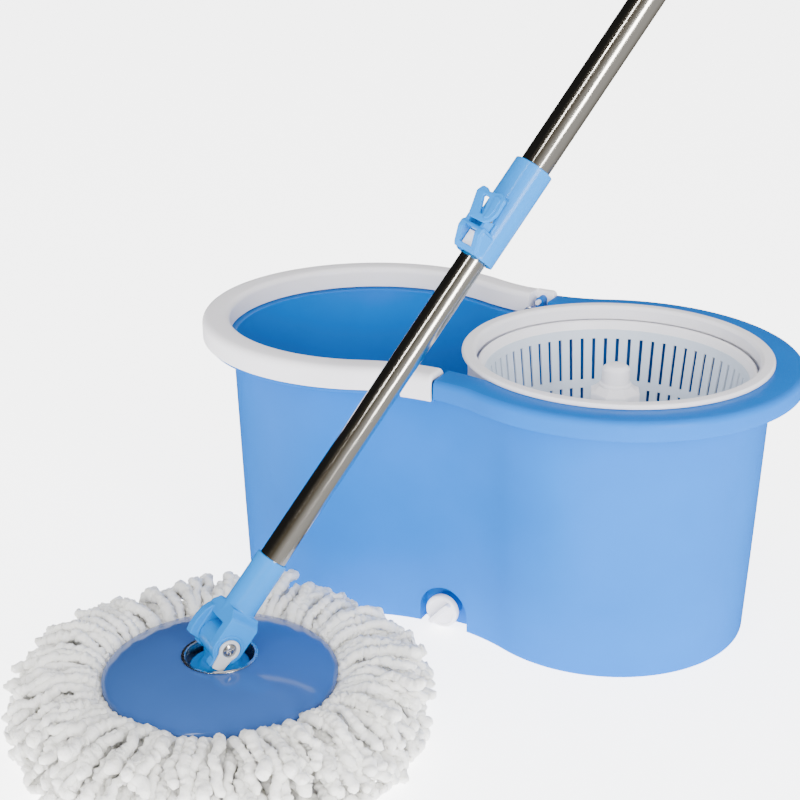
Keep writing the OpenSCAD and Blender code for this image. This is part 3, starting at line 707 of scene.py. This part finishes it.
def build_collar():
    z = RIM_Z + 0.3
    ring = [(115, z, 0.4), (115, z + 1.6, 1.0), (113.4, z + 3, 1.2), (106.6, z + 3, 1.8),
            (104.5, z + 0.6, 1.4), (104.5, z - 8, 0.6), (106.3, z - 8, 0.5), (106.3, z - 2.5, 1.0),
            (108.5, z - 1.5, 0.8), (108.5, 190, 0.5), (110.3, 190, 0.5), (110.3, z, 0.6)]
    lathe("collar_ring", ring, SPIN, "bucket_base", "white_plastic", 224, replaces=["splash_collar"])


# ---- Mop head ----

def dome(r):
    """Height of the plate's domed top."""
    return DOME_Z - DOME_FALL * ((r - CUP_R) / DOME_REACH) ** 2.1


def build_head():
    top = [(r, dome(r)) for r in np.linspace(27.5, 76.5, 22)]
    under = [(r, dome(r) - 2.7) for r in np.linspace(74.5, 27.5, 16)]
    edge = [(78.4, 45.9), (80, 44.2, 1.6), (80, 40.2, 0.9), (77.8, 40.2, 0.8), (77.4, 43.2, 0.8)]
    corners = [(24.2, 43.5, 0.4), (24.2, 57, 0.35), (25.6, 56.98)] + top + edge + under
    corners += [(26.4, 54.1, 0.5), (26.4, 43.5, 0.4)]
    lathe("head_plate", corners, HEAD, "mop_head", "plate_blue", 224, arc=4, replaces=["mop_plate"])
    hub = [(8, 30.2, 0.4), (12.5, 30.2, 0.5), (12.5, 43.6, 0.6), (20.5, 43.6, 0.6), (20.5, 24, 0.4),
           (23, 24, 0.6), (23, 36.5, 0.5), (33, 36.5, 0.5), (33, 53.8, 0.4), (31, 53.9, 0.4),
           (31, 38.5, 0.5), (23, 38.5, 0.6), (23, 43.5, 0.5), (25.4, 43.5), (25.4, 46), (8, 46)]
    lathe("head_hub", hub, HEAD, "mop_head", "plate_blue", 144)
    bezel = [(23.1, 46.1, 0.2), (24.1, 46.1, 0.2), (24.1, 57.05, 0.3), (26.0, 57.05, 0.35),
             (26.0, 57.95, 0.4), (23.6, 57.95, 0.4), (23.1, 57.4, 0.3)]
    lathe("cup_bezel", bezel, HEAD, "mop_head", "steel", 144, replaces=["cup_ring"])

    # Turning foot with the barrel that the yoke tilts on
    bm = bmesh.new()
    barrel = 8.6
    centre = HINGE.z / MM
    solid_cylinder(bm, 20, 20, (0, 0, 48.1), (0, 0, 51), 96)
    solid_cylinder(bm, 15.5, 12, (0, 0, 50.5), (0, 0, 54), 64)
    solid_box(bm, (-8, -barrel, 50), (8, barrel, centre))
    solid_cylinder(bm, 11, 11, (0, -barrel, centre), (0, barrel, centre), 72)
    foot = fused("foot_barrel", bm, 0.42, 4)
    bm = bmesh.new()
    solid_cylinder(bm, 2.6, 2.6, (0, -20, centre), (0, 20, centre), 40)
    cut(foot, bm)
    settle(foot, HEAD, "joint_foot", "joint_blue", 45, ["swivel_base"])
    stem = [(2.2, 30, 0.3), (7.9, 30, 0.6), (7.9, 48.4, 0.3), (2.2, 48.4, 0.3)]
    lathe("foot_stem", stem, HEAD, "joint_foot", "joint_blue", 72)


# ---- Yarn ----

def yarn_strand(rng, verts, faces, start, crest, drop, end, bend, girth):
    """One chenille finger: a lumpy tube that rises from under the plate, bends and hangs to its tip.
    Points are (radius, height) round the head, start is (angle, radius, height)."""
    a0, r0, z0 = start
    keys = [(r0, z0, 0.0), (r0 + 9, z0 + 2.7, bend * 0.05), (*crest, bend * 0.35), (*drop, bend * 0.7),
            (*end, bend)]
    pts = []
    for r, z, swing in keys:
        a = a0 + swing / max(r, 60)
        pts.append(np.array([r * math.cos(a), r * math.sin(a), z]))
    pts = [2 * pts[0] - pts[1]] + pts + [2 * pts[-1] - pts[-2]]
    line = []
    for i in range(1, len(pts) - 2):
        p0, p1, p2, p3 = pts[i - 1:i + 3]
        for t in np.linspace(0, 1, 12, endpoint=False):
            line.append(0.5 * (2 * p1 + (p2 - p0) * t + (2 * p0 - 5 * p1 + 4 * p2 - p3) * t * t
                               + (3 * p1 - p0 - 3 * p2 + p3) * t ** 3))
    line.append(pts[-2])
    line = np.array(line)
    gaps = np.linalg.norm(np.diff(line, axis=0), axis=1)
    along = np.concatenate([[0], np.cumsum(gaps)])
    length = along[-1]
    count = max(12, int(length / 1.5))
    s = np.linspace(0, length, count)
    path = np.stack([np.interp(s, along, line[:, k]) for k in range(3)], axis=1)

    # Loose waves that grow towards the tip
    grow = (s / length) ** 1.15
    radial = np.array([math.cos(a0), math.sin(a0), 0])
    side = np.array([-radial[1], radial[0], 0])
    for axis, size in ((side, 3.4), (np.array([0, 0, 1.0]), 2.4)):
        for wave in (38, 21, 13):
            amount = size * wave / 38 * rng.uniform(0.3, 1.0)
            pitch = wave * rng.uniform(0.85, 1.2)
            phase = rng.uniform(0, 6.3)
            path += np.outer(grow * amount * np.sin(2 * math.pi * s / pitch + phase), axis)

    # Lumps round and along the finger, with a rounded tip
    sides = 12
    theta = np.arange(sides) * 2 * math.pi / sides
    radius = np.full((count, sides), girth)
    for _ in range(6):
        k = 2 * math.pi / rng.uniform(3.2, 7.5)
        m = rng.choice([0, 1, 1, 2, 2, 3])
        height = rng.uniform(0.06, 0.13)
        phase = rng.uniform(0, 6.3)
        radius *= 1 + height * np.sin((s * k)[:, None] + m * theta + phase)
    pitch = rng.uniform(24, 40)
    phase = rng.uniform(0, 6.3)
    radius *= 1 + 0.16 * np.sin(2 * math.pi * s / pitch + phase)[:, None]
    tip = np.clip((length - s) / (girth * 1.15), 0, 1)
    root = np.clip(s / (girth * 0.8) + 0.35, 0, 1)
    radius *= (np.sqrt(np.clip(1 - (1 - tip) ** 2, 0.02, 1)) * root)[:, None]
    radius *= (1 + 0.18 * np.exp(-((length - s) / 7.0) ** 2))[:, None]

    # Rings of points across the path, pressed flat where they would go through the floor
    tangent = np.gradient(path, axis=0)
    tangent /= np.linalg.norm(tangent, axis=1)[:, None]
    normal = np.cross(tangent[0], side)
    normal /= np.linalg.norm(normal)
    rings = []
    for i in range(count):
        normal = normal - tangent[i] * normal.dot(tangent[i])
        normal /= np.linalg.norm(normal)
        binormal = np.cross(tangent[i], normal)
        across = np.cos(theta)[:, None] * normal + np.sin(theta)[:, None] * binormal
        ring = path[i] + radius[i][:, None] * across
        under = FLOOR_GAP + 0.06 * (FLOOR_GAP - ring[:, 2]).clip(0, 3)
        ring[:, 2] = np.where(ring[:, 2] < FLOOR_GAP, under, ring[:, 2])
        rings.append(ring.tolist())
    base = len(verts)
    points, quads = skin(rings, False, True)
    verts.extend(points)
    faces.extend(tuple(base + k for k in quad) for quad in quads)
    faces.append(tuple(base + k for k in reversed(range(sides))))
    faces.append(tuple(base + (count - 1) * sides + k for k in range(sides)))


def drift(a, seed):
    """A slow wander round the head, from -1 to 1, that gathers neighbouring strands into tufts."""
    waves = math.sin(5 * a + seed) + 0.8 * math.sin(9 * a + 2.3 * seed) + 0.7 * math.sin(14 * a + 4.1 * seed)
    return waves / 2.5


def build_yarn():
    rng = random.Random(41)
    verts, faces = [], []
    # strands, start radius and height, crest, drop, end, sideways bend
    layers = [
        (96, 60, 14, (92, 13), (120, 8), (141, 5), 6),
        (104, 62, 21, (96, 24), (122, 18), (143, 9), 9),
        (104, 66, 27, (98, 33), (123, 29), (144, 17), 11),
        (100, 70, 32, (98, 42), (122, 40), (143, 29), 13),
        (92, 71, 34.2, (94, 48.5), (117, 49), (138, 40), 15),
    ]
    for index, (count, r0, z0, crest, drop, end, sway) in enumerate(layers):
        for i in range(count):
            a = 2 * math.pi * (i + 0.5 * (index % 2) + rng.uniform(-0.22, 0.22)) / count
            tuft = drift(a, index + 1.0)
            reach = rng.uniform(-7, 4) + 3.5 * drift(a, 7 + index)
            height = rng.uniform(-2.5, 2.5) + 3.0 * drift(a, 12 + index)
            bend = sway * (1.3 * tuft + rng.uniform(-0.9, 0.9))
            hang = rng.uniform(-7, 7) + (rng.uniform(-16, 14) if index == len(layers) - 1 else 0)
            start = (a, r0 + rng.uniform(-1, 1), z0)
            over = (crest[0] + rng.uniform(-4, 4), crest[1] + height * (0.5 if index else 0.1))
            down = (drop[0] + reach * 0.6 + rng.uniform(-3, 3),
                    max(5, drop[1] + height + rng.uniform(-2, 2)))
            tip = (min(146.5, end[0] + reach), max(4.2, end[1] + height + hang * (0.7 if index else 0.1)))
            yarn_strand(rng, verts, faces, start, over, down, tip, bend, rng.uniform(3.1, 4.2))
    piece("yarn_strands", verts, faces, HEAD, "mop_head", "yarn", 180, ["yarn"])


# ---- Yoke and its hinge ----

def arc_points(radius, start, sweep, count):
    """Points along an arc round the origin, with its angles in degrees."""
    turns = (math.radians(start + sweep * k / count) for k in range(count + 1))
    return [(radius * math.cos(a), radius * math.sin(a)) for a in turns]


def build_yoke():
    bm = bmesh.new()
    for side, foot in ((-1, 15.5), (1, 11)):
        y0, y1 = (CHEEK_IN, CHEEK_OUT) if side > 0 else (-CHEEK_OUT, -CHEEK_IN)
        solid_cylinder(bm, 11.5, 11.5, (0, y0, 0), (0, y1, 0), 72)
        solid_box(bm, (-11.5, y0, 0), (11.5, y1, 18))
        solid_box(bm, (-5.6, y0, -foot), (5.6, y1, 0))
    solid_box(bm, (-11.5, -CHEEK_OUT, 13), (11.5, CHEEK_OUT, 18))
    # Shoulder from the cheeks to the socket, as a stack of narrowing slices
    slices = 10
    for i in range(slices):
        t0, t1 = i / slices, (i + 1) / slices
        w = CHEEK_OUT + (SOCKET_R - CHEEK_OUT) * ease(t0)
        d = 11.5 - 0.3 * ease(t0)
        solid_box(bm, (-d, -w, 17.6 + 7 * t0), (d, w, 17.9 + 7 * t1))
    # Wing on the edge of the far cheek, with a flat end
    wing = [(-9, 17.5), (-12.4, 17), (-15.2, 12), (-16.6, 5), (-16.8, -2), (-15.6, -7.5), (-5, -8.5)]
    solid_prism(bm, wing, CHEEK_IN + 0.6, CHEEK_OUT - 0.4)
    solid_cylinder(bm, SOCKET_R + 0.2, SOCKET_R, (0, 0, 17.6), (0, 0, 40), 72)
    solid_cylinder(bm, SOCKET_R, SOCKET_R, (0, 0, 39), (0, 0, 65), 72)
    obj = fused("yoke_body", bm, 0.42, 7)
    bm = bmesh.new()
    solid_cylinder(bm, 2.5, 2.5, (0, -30, 0), (0, 30, 0), 40)
    solid_cylinder(bm, TUBE_R, TUBE_R, (0, 0, 55), (0, 0, 70), 72)
    cut(obj, bm)
    settle(obj, POLE, "lower_pole", "joint_blue", 48, ["yoke"])

    # Teardrop plates on both cheeks, and a low raised border round the one on the near cheek
    for side, label, leg in ((-1, "screw_side", 15.4), (1, "nut_side", 11)):
        y = side * (CHEEK_OUT + 0.95)
        facing = Matrix(((side, 0, 0, 0), (0, 0, side, y), (0, 1, 0, 0), (0, 0, 0, 1)))
        outline = arc_points(7.5, -42, 264, 30)
        outline += rounded([(-4.3, -leg, 1.2), (4.3, -leg, 1.2), (4.6, -6.2, 2.0)], 4, False)[:-1]
        hole = arc_points(4.9, 0, 360, 40)[:-1]
        plate(label + "_teardrop", [outline, hole], 1.8, 0.5, POLE @ facing, "lower_pole", "grey_plastic",
              [label + "_plate"])
    border = Matrix(((-1, 0, 0, 0), (0, 0, -1, -CHEEK_OUT + 0.35), (0, 1, 0, 0), (0, 0, 0, 1)))
    outline = arc_points(10.4, -48, 276, 40) + arc_points(8.3, -48, 276, 40)[::-1]
    plate("teardrop_border", [outline], 2.2, 0.7, POLE @ border, "lower_pole", "joint_blue")

    # Pan-head screw with its cross recess
    head = Matrix(((-1, 0, 0, 0), (0, 0, -1, 0), (0, 1, 0, 0), (0, 0, 0, 1)))
    y = CHEEK_OUT
    profile = rounded([(0.01, -y - 2), (2.4, -y - 2), (2.4, y + 0.1), (4.5, y + 0.1, 0.3),
                       (4.5, y + 1.1, 0.8), (2.6, y + 2.1, 1.4), (0.01, y + 2.3)], 4, False)
    verts, faces = turned(profile, 64)
    obj = mesh_object("pivot_screw", verts, faces)
    bm = bmesh.new()
    for a in (35, 125):
        solid_box(bm, (-2.5, -0.42, y + 1.0), (2.5, 0.42, y + 4), Matrix.Rotation(math.radians(a), 4, "Z"))
    cut(obj, bm, crossed=True)
    settle(obj, POLE @ head, "lower_pole", "steel", 40, ["hinge_screw"])


# ---- Tubes ----

def build_tubes():
    lower = [(TUBE_INNER_R, TUBE_START), (TUBE_R, TUBE_START), (TUBE_R, TUBE_END, 0.3),
             (TUBE_INNER_R, TUBE_END, 0.3)]
    lathe("lower_tube_skin", lower, POLE, "lower_pole", "tube_steel", 96, arc=3, replaces=["lower_tube"])
    upper = [(UPPER_INNER_R, UPPER_START, 0.2), (UPPER_R, UPPER_START, 0.2), (UPPER_R, UPPER_END, 0.3),
             (UPPER_INNER_R, UPPER_END, 0.3)]
    lathe("upper_tube_skin", upper, POLE, "upper_pole", "tube_steel", 96, arc=3, replaces=["upper_tube"])


def build_top():
    """The foam grip and the cap with its hanging eye."""
    inner = UPPER_R + 0.02
    grip_r, groove_r, groove_pitch = 14, 13.2, 8
    line = [(inner, GRIP_START), (12.6, GRIP_START, 0.8), (grip_r, GRIP_START + 2.6, 1.2)]
    s = GRIP_START + 12
    while s < GRIP_END - 10:
        line += [(grip_r, s - 0.7, 0.5), (groove_r, s + 0.3, 0.6), (groove_r, s + 1.7, 0.6),
                 (grip_r, s + 2.7, 0.5)]
        s += groove_pitch
    line += [(grip_r, GRIP_END - 2.6, 1.2), (12.6, GRIP_END, 0.8), (inner, GRIP_END)]
    lathe("grip_sleeve", line, POLE, "upper_pole", "grip_foam", 96, arc=3, replaces=["grip"])
    bm = bmesh.new()
    solid_cylinder(bm, 10.1, 10.1, (0, 0, UPPER_END - 18), (0, 0, UPPER_END + 2), 64)
    solid_cylinder(bm, grip_r, grip_r, (0, 0, UPPER_END + 0.2), (0, 0, UPPER_END + 10), 72)
    solid_cylinder(bm, grip_r, 11, (0, 0, UPPER_END + 9.8), (0, 0, UPPER_END + 14), 72)
    solid_cylinder(bm, 11, 11, (0, -4, EYE_S), (0, 4, EYE_S), 72)
    solid_box(bm, (-11, -4, UPPER_END + 5), (11, 4, EYE_S))
    cap = fused("hanging_cap", bm, 0.45, 5)
    bm = bmesh.new()
    solid_cylinder(bm, 5.5, 5.5, (0, -12, EYE_S), (0, 12, EYE_S), 56)
    cut(cap, bm)
    settle(cap, POLE, "upper_pole", "joint_blue", 48, ["end_cap"])
    soften(cap, 0.5, 2, 60)


# ---- Lock ----

def build_sleeve():
    """The lock's sleeve with the box that its lever and block sit in."""
    s = LOCK_S
    bm = bmesh.new()
    solid_cylinder(bm, 14.2, 14.2, (0, 0, s), (0, 0, s + 73.5), 96)
    box = [(6, s), (14.6, s), (17, s + 2), (23.5, s + 12), (23.5, s + 16), (22.3, s + 17.6), (6, s + 17.6)]
    solid_prism(bm, box, -9.8, 9.8)
    # Raised panels on the box's sides, and the ears of the lever's pin
    for side in (-1, 1):
        inner, outer = sorted((side * 9.6, side * 10.9))
        panel = [(8, s + 2.5), (15, s + 2.5), (20.5, s + 11.5), (20.5, s + 15.6), (8, s + 15.6)]
        solid_prism(bm, panel, inner, outer)
        inner, outer = sorted((side * 5.4, side * 8.6))
        solid_cylinder(bm, 2.7, 2.7, (LEVER_X, side * 5.4, LEVER_S), (LEVER_X, side * 8.6, LEVER_S), 40)
        solid_box(bm, (8, inner, s + 16), (LEVER_X + 2.5, outer, LEVER_S))
    obj = fused("lock_sleeve", bm, 0.42, 4)

    # Bores for the lower and the upper tube, window, slit behind the lever, its recess and its pin's hole
    takes = [
        (solid_cylinder, 10.1, 10.1, (0, 0, s - 4), (0, 0, s + 80), 80),
        (solid_cylinder, 11.05, 11.05, (0, 0, s + 22), (0, 0, s + 80), 80),
        (solid_box, (0, -5.5, s + 3.4), (40, 5.5, s + 14.6)),
        (solid_box, (12.3, -13, s + 17.7), (LEVER_X - 5.5, 13, s + 44)),
        (solid_box, (14.0, -5.3, LEVER_S - 5.2), (34, 5.3, LEVER_S + 7)),
        (solid_cylinder, 1.6, 1.6, (LEVER_X, -14, LEVER_S), (LEVER_X, 14, LEVER_S), 32),
    ]
    for solid, *sizes in takes:
        bm = bmesh.new()
        solid(bm, *sizes)
        cut(obj, bm)
    settle(obj, LOCK, "upper_pole", "joint_blue", 45, ["lock_collar"])


def build_block():
    """The block that the lever presses on the lower tube."""
    s = LOCK_S
    bm = bmesh.new()
    solid_box(bm, (7, -5.1, s + 3.8), (15.5, 5.1, s + 14.2))
    block = rough_object("lock_pad", bm)
    bm = bmesh.new()
    solid_cylinder(bm, 9.8, 9.8, (0, 0, s), (0, 0, s + 30), 80)
    cut(block, bm)
    settle(block, LOCK, "block", "white_plastic", 40, ["lock_block"])
    soften(block, 0.7, 3, 40)


def build_lever():
    """The lever: a flared plate with a wedge-shaped window and a raised wing, on a knuckle."""
    facing = Matrix(((0, 0, 1, LEVER_X + 4.5), (1, 0, 0, 0), (0, 1, 0, LEVER_S), (0, 0, 0, 1)))
    outline = rounded([(-5.4, -4.6, 1.2), (8.5, -4.2, 1.6), (12.4, -0.5, 2.5), (14.2, 5, 3), (13.4, 15.4, 3),
                       (9, 18.8, 3), (-1.4, 15.9, 2.5), (-4.6, 17.9, 2), (-8.6, 17.9, 2.5),
                       (-10.9, 13.2, 2.5)], 6)
    window = rounded([(-4.0, 12.6, 0.8), (1.0, 12.8, 0.8), (4.0, 0.8, 0.5), (1.7, 0.4, 0.5)], 4)
    plate("lever_plate", [outline, window], 3.2, 0.8, LOCK @ facing, "lever", "joint_blue", ["lock_lever"])
    raised = Matrix(((0, 0, 1, LEVER_X + 6.0), (1, 0, 0, 0), (0, 1, 0, LEVER_S), (0, 0, 0, 1)))
    wing = rounded([(6.2, -2.6, 1), (10.4, 0.4, 1.6), (11.6, 5.4, 2), (10.9, 14, 2), (8.4, 16, 1.6),
                    (5.4, 15, 1), (6.8, 4, 2)], 5)
    plate("lever_wing", [wing], 1.8, 0.6, LOCK @ raised, "lever", "joint_blue")
    bm = bmesh.new()
    solid_cylinder(bm, 3.4, 3.4, (LEVER_X, -5, LEVER_S), (LEVER_X, 5, LEVER_S), 48)
    solid_box(bm, (LEVER_X - 1.5, -5, LEVER_S), (LEVER_X + 3.3, 5, LEVER_S + 5.2))
    knuckle = fused("lever_knuckle", bm, 0.25, 3)
    bm = bmesh.new()
    solid_cylinder(bm, 1.55, 1.55, (LEVER_X, -12, LEVER_S), (LEVER_X, 12, LEVER_S), 32)
    cut(knuckle, bm)
    settle(knuckle, LOCK, "lever", "joint_blue", 45)


build_bucket()
build_drain()
build_handle()
build_basket()
build_post()
build_collar()
build_head()
build_yarn()
build_yoke()
build_tubes()
build_sleeve()
build_block()
build_lever()
build_top()

# ---- CAD nodes that still show: their own finish and softened edges ----

for name, node in nodes.items():
    node.data.materials.clear()
    node.data.materials.append(SLOTS[material_of[name]])
    if not node.hide_render:
        soften(node, 0.25, 2, 40)

# ---- Studio, in metres ----

STUDIO_MIDDLE = Vector((0, -0.1, 0.2))
TENT_R = 9.0


def softbox(name, azimuth, elevation, distance, width, height, watts):
    """An area light that faces the object from a compass direction (from +X) and a height, in degrees."""
    light = bpy.data.lights.new(name, "AREA")
    light.shape = "RECTANGLE"
    light.size = width
    light.size_y = height
    light.energy = watts
    lamp = linked(name, light)
    a, e = math.radians(azimuth), math.radians(elevation)
    direction = Vector((math.cos(a) * math.cos(e), math.sin(a) * math.cos(e), math.sin(e)))
    lamp.location = STUDIO_MIDDLE + direction * distance
    lamp.rotation_euler = direction.to_track_quat("Z", "Y").to_euler()
    return lamp


softbox("key_right", -30, 20, 2.4, 0.50, 1.5, 52)
softbox("front_strip", -95, 50, 2.4, 0.14, 0.9, 9)
front_fill = softbox("front_fill", -75, 22, 3.2, 2.2, 1.4, 90)
front_fill.visible_glossy = False

world = bpy.data.worlds.new("studio")
bpy.context.scene.world = world
world.use_nodes = True
background = world.node_tree.nodes["Background"]
background.inputs["Color"].default_value = (1.0, 1.0, 1.0, 1)
background.inputs["Strength"].default_value = 1.1


def staged(name, verts, faces, material):
    """A mesh of the studio, which isn't part of the object."""
    mesh = bpy.data.meshes.new(name)
    mesh.from_pydata(verts, [], faces)
    obj = linked(name, mesh)
    mesh.materials.append(material)
    return obj


# A light table: the floor is lit and gives light, and glossy surfaces mirror the tent instead of it
paper = surface("floor_paper", (0.93, 0.93, 0.93), 0.7, vary=0.005, grain=300.0, bump=0.02, patch=2.0)
paper_bsdf = paper.node_tree.nodes["Principled BSDF"]
paper_bsdf.inputs["Emission Color"].default_value = (1, 1, 1, 1)
paper_bsdf.inputs["Emission Strength"].default_value = 4.2
floor = staged("floor", [(-20, -20, 0), (20, -20, 0), (20, 30, 0), (-20, 30, 0)], [(0, 1, 2, 3)], paper)
floor.visible_glossy = False

# The tent: cloth round the whole studio, dark on the left and pale on the right, that only reflections see
cloth = bpy.data.materials.new("tent_cloth")
cloth.use_nodes = True
tree = cloth.node_tree
tree.nodes.remove(tree.nodes["Principled BSDF"])
glow = tree.nodes.new("ShaderNodeEmission")
tree.links.new(glow.outputs["Emission"], tree.nodes["Material Output"].inputs["Surface"])
where = tree.nodes.new("ShaderNodeTexCoord")
split = tree.nodes.new("ShaderNodeSeparateXYZ")
climb = tree.nodes.new("ShaderNodeValToRGB")
tree.links.new(where.outputs["Generated"], split.inputs["Vector"])
tree.links.new(split.outputs["X"], climb.inputs["Fac"])
tree.links.new(climb.outputs["Color"], glow.inputs["Color"])
stops = climb.color_ramp.elements
stops[0].position, stops[0].color = 0.22, (0.02, 0.02, 0.02, 1)
stops[1].position, stops[1].color = 0.95, (0.55, 0.55, 0.55, 1)
middle = stops.new(0.55)
middle.color = (0.12, 0.10, 0.07, 1)
tent_rings = []
for i in range(17):
    polar = math.pi * i / 16
    ring_r, height = TENT_R * math.sin(polar), TENT_R * math.cos(polar)
    turns = [2 * math.pi * k / 32 for k in range(32)]
    tent_rings.append([(ring_r * math.cos(a), ring_r * math.sin(a), height) for a in turns])
tent = staged("tent", *skin(tent_rings, False, True), cloth)
tent.visible_camera = tent.visible_diffuse = tent.visible_shadow = tent.visible_transmission = False
tent.visible_volume_scatter = False

# ---- Camera ----

camera_data = bpy.data.cameras.new("camera")
camera_data.lens = 70.5
camera_data.sensor_width = 36
camera = linked("camera", camera_data)
camera.location = (0.473, -1.042, 0.601)
pitch = math.radians(21.25)
heading = Vector((-0.4686, 0.883, 0)).normalized()
look = heading * math.cos(pitch) + Vector((0, 0, -math.sin(pitch)))
camera.rotation_mode = "QUATERNION"
camera.rotation_quaternion = look.to_track_quat("-Z", "Y")
bpy.context.scene.camera = camera
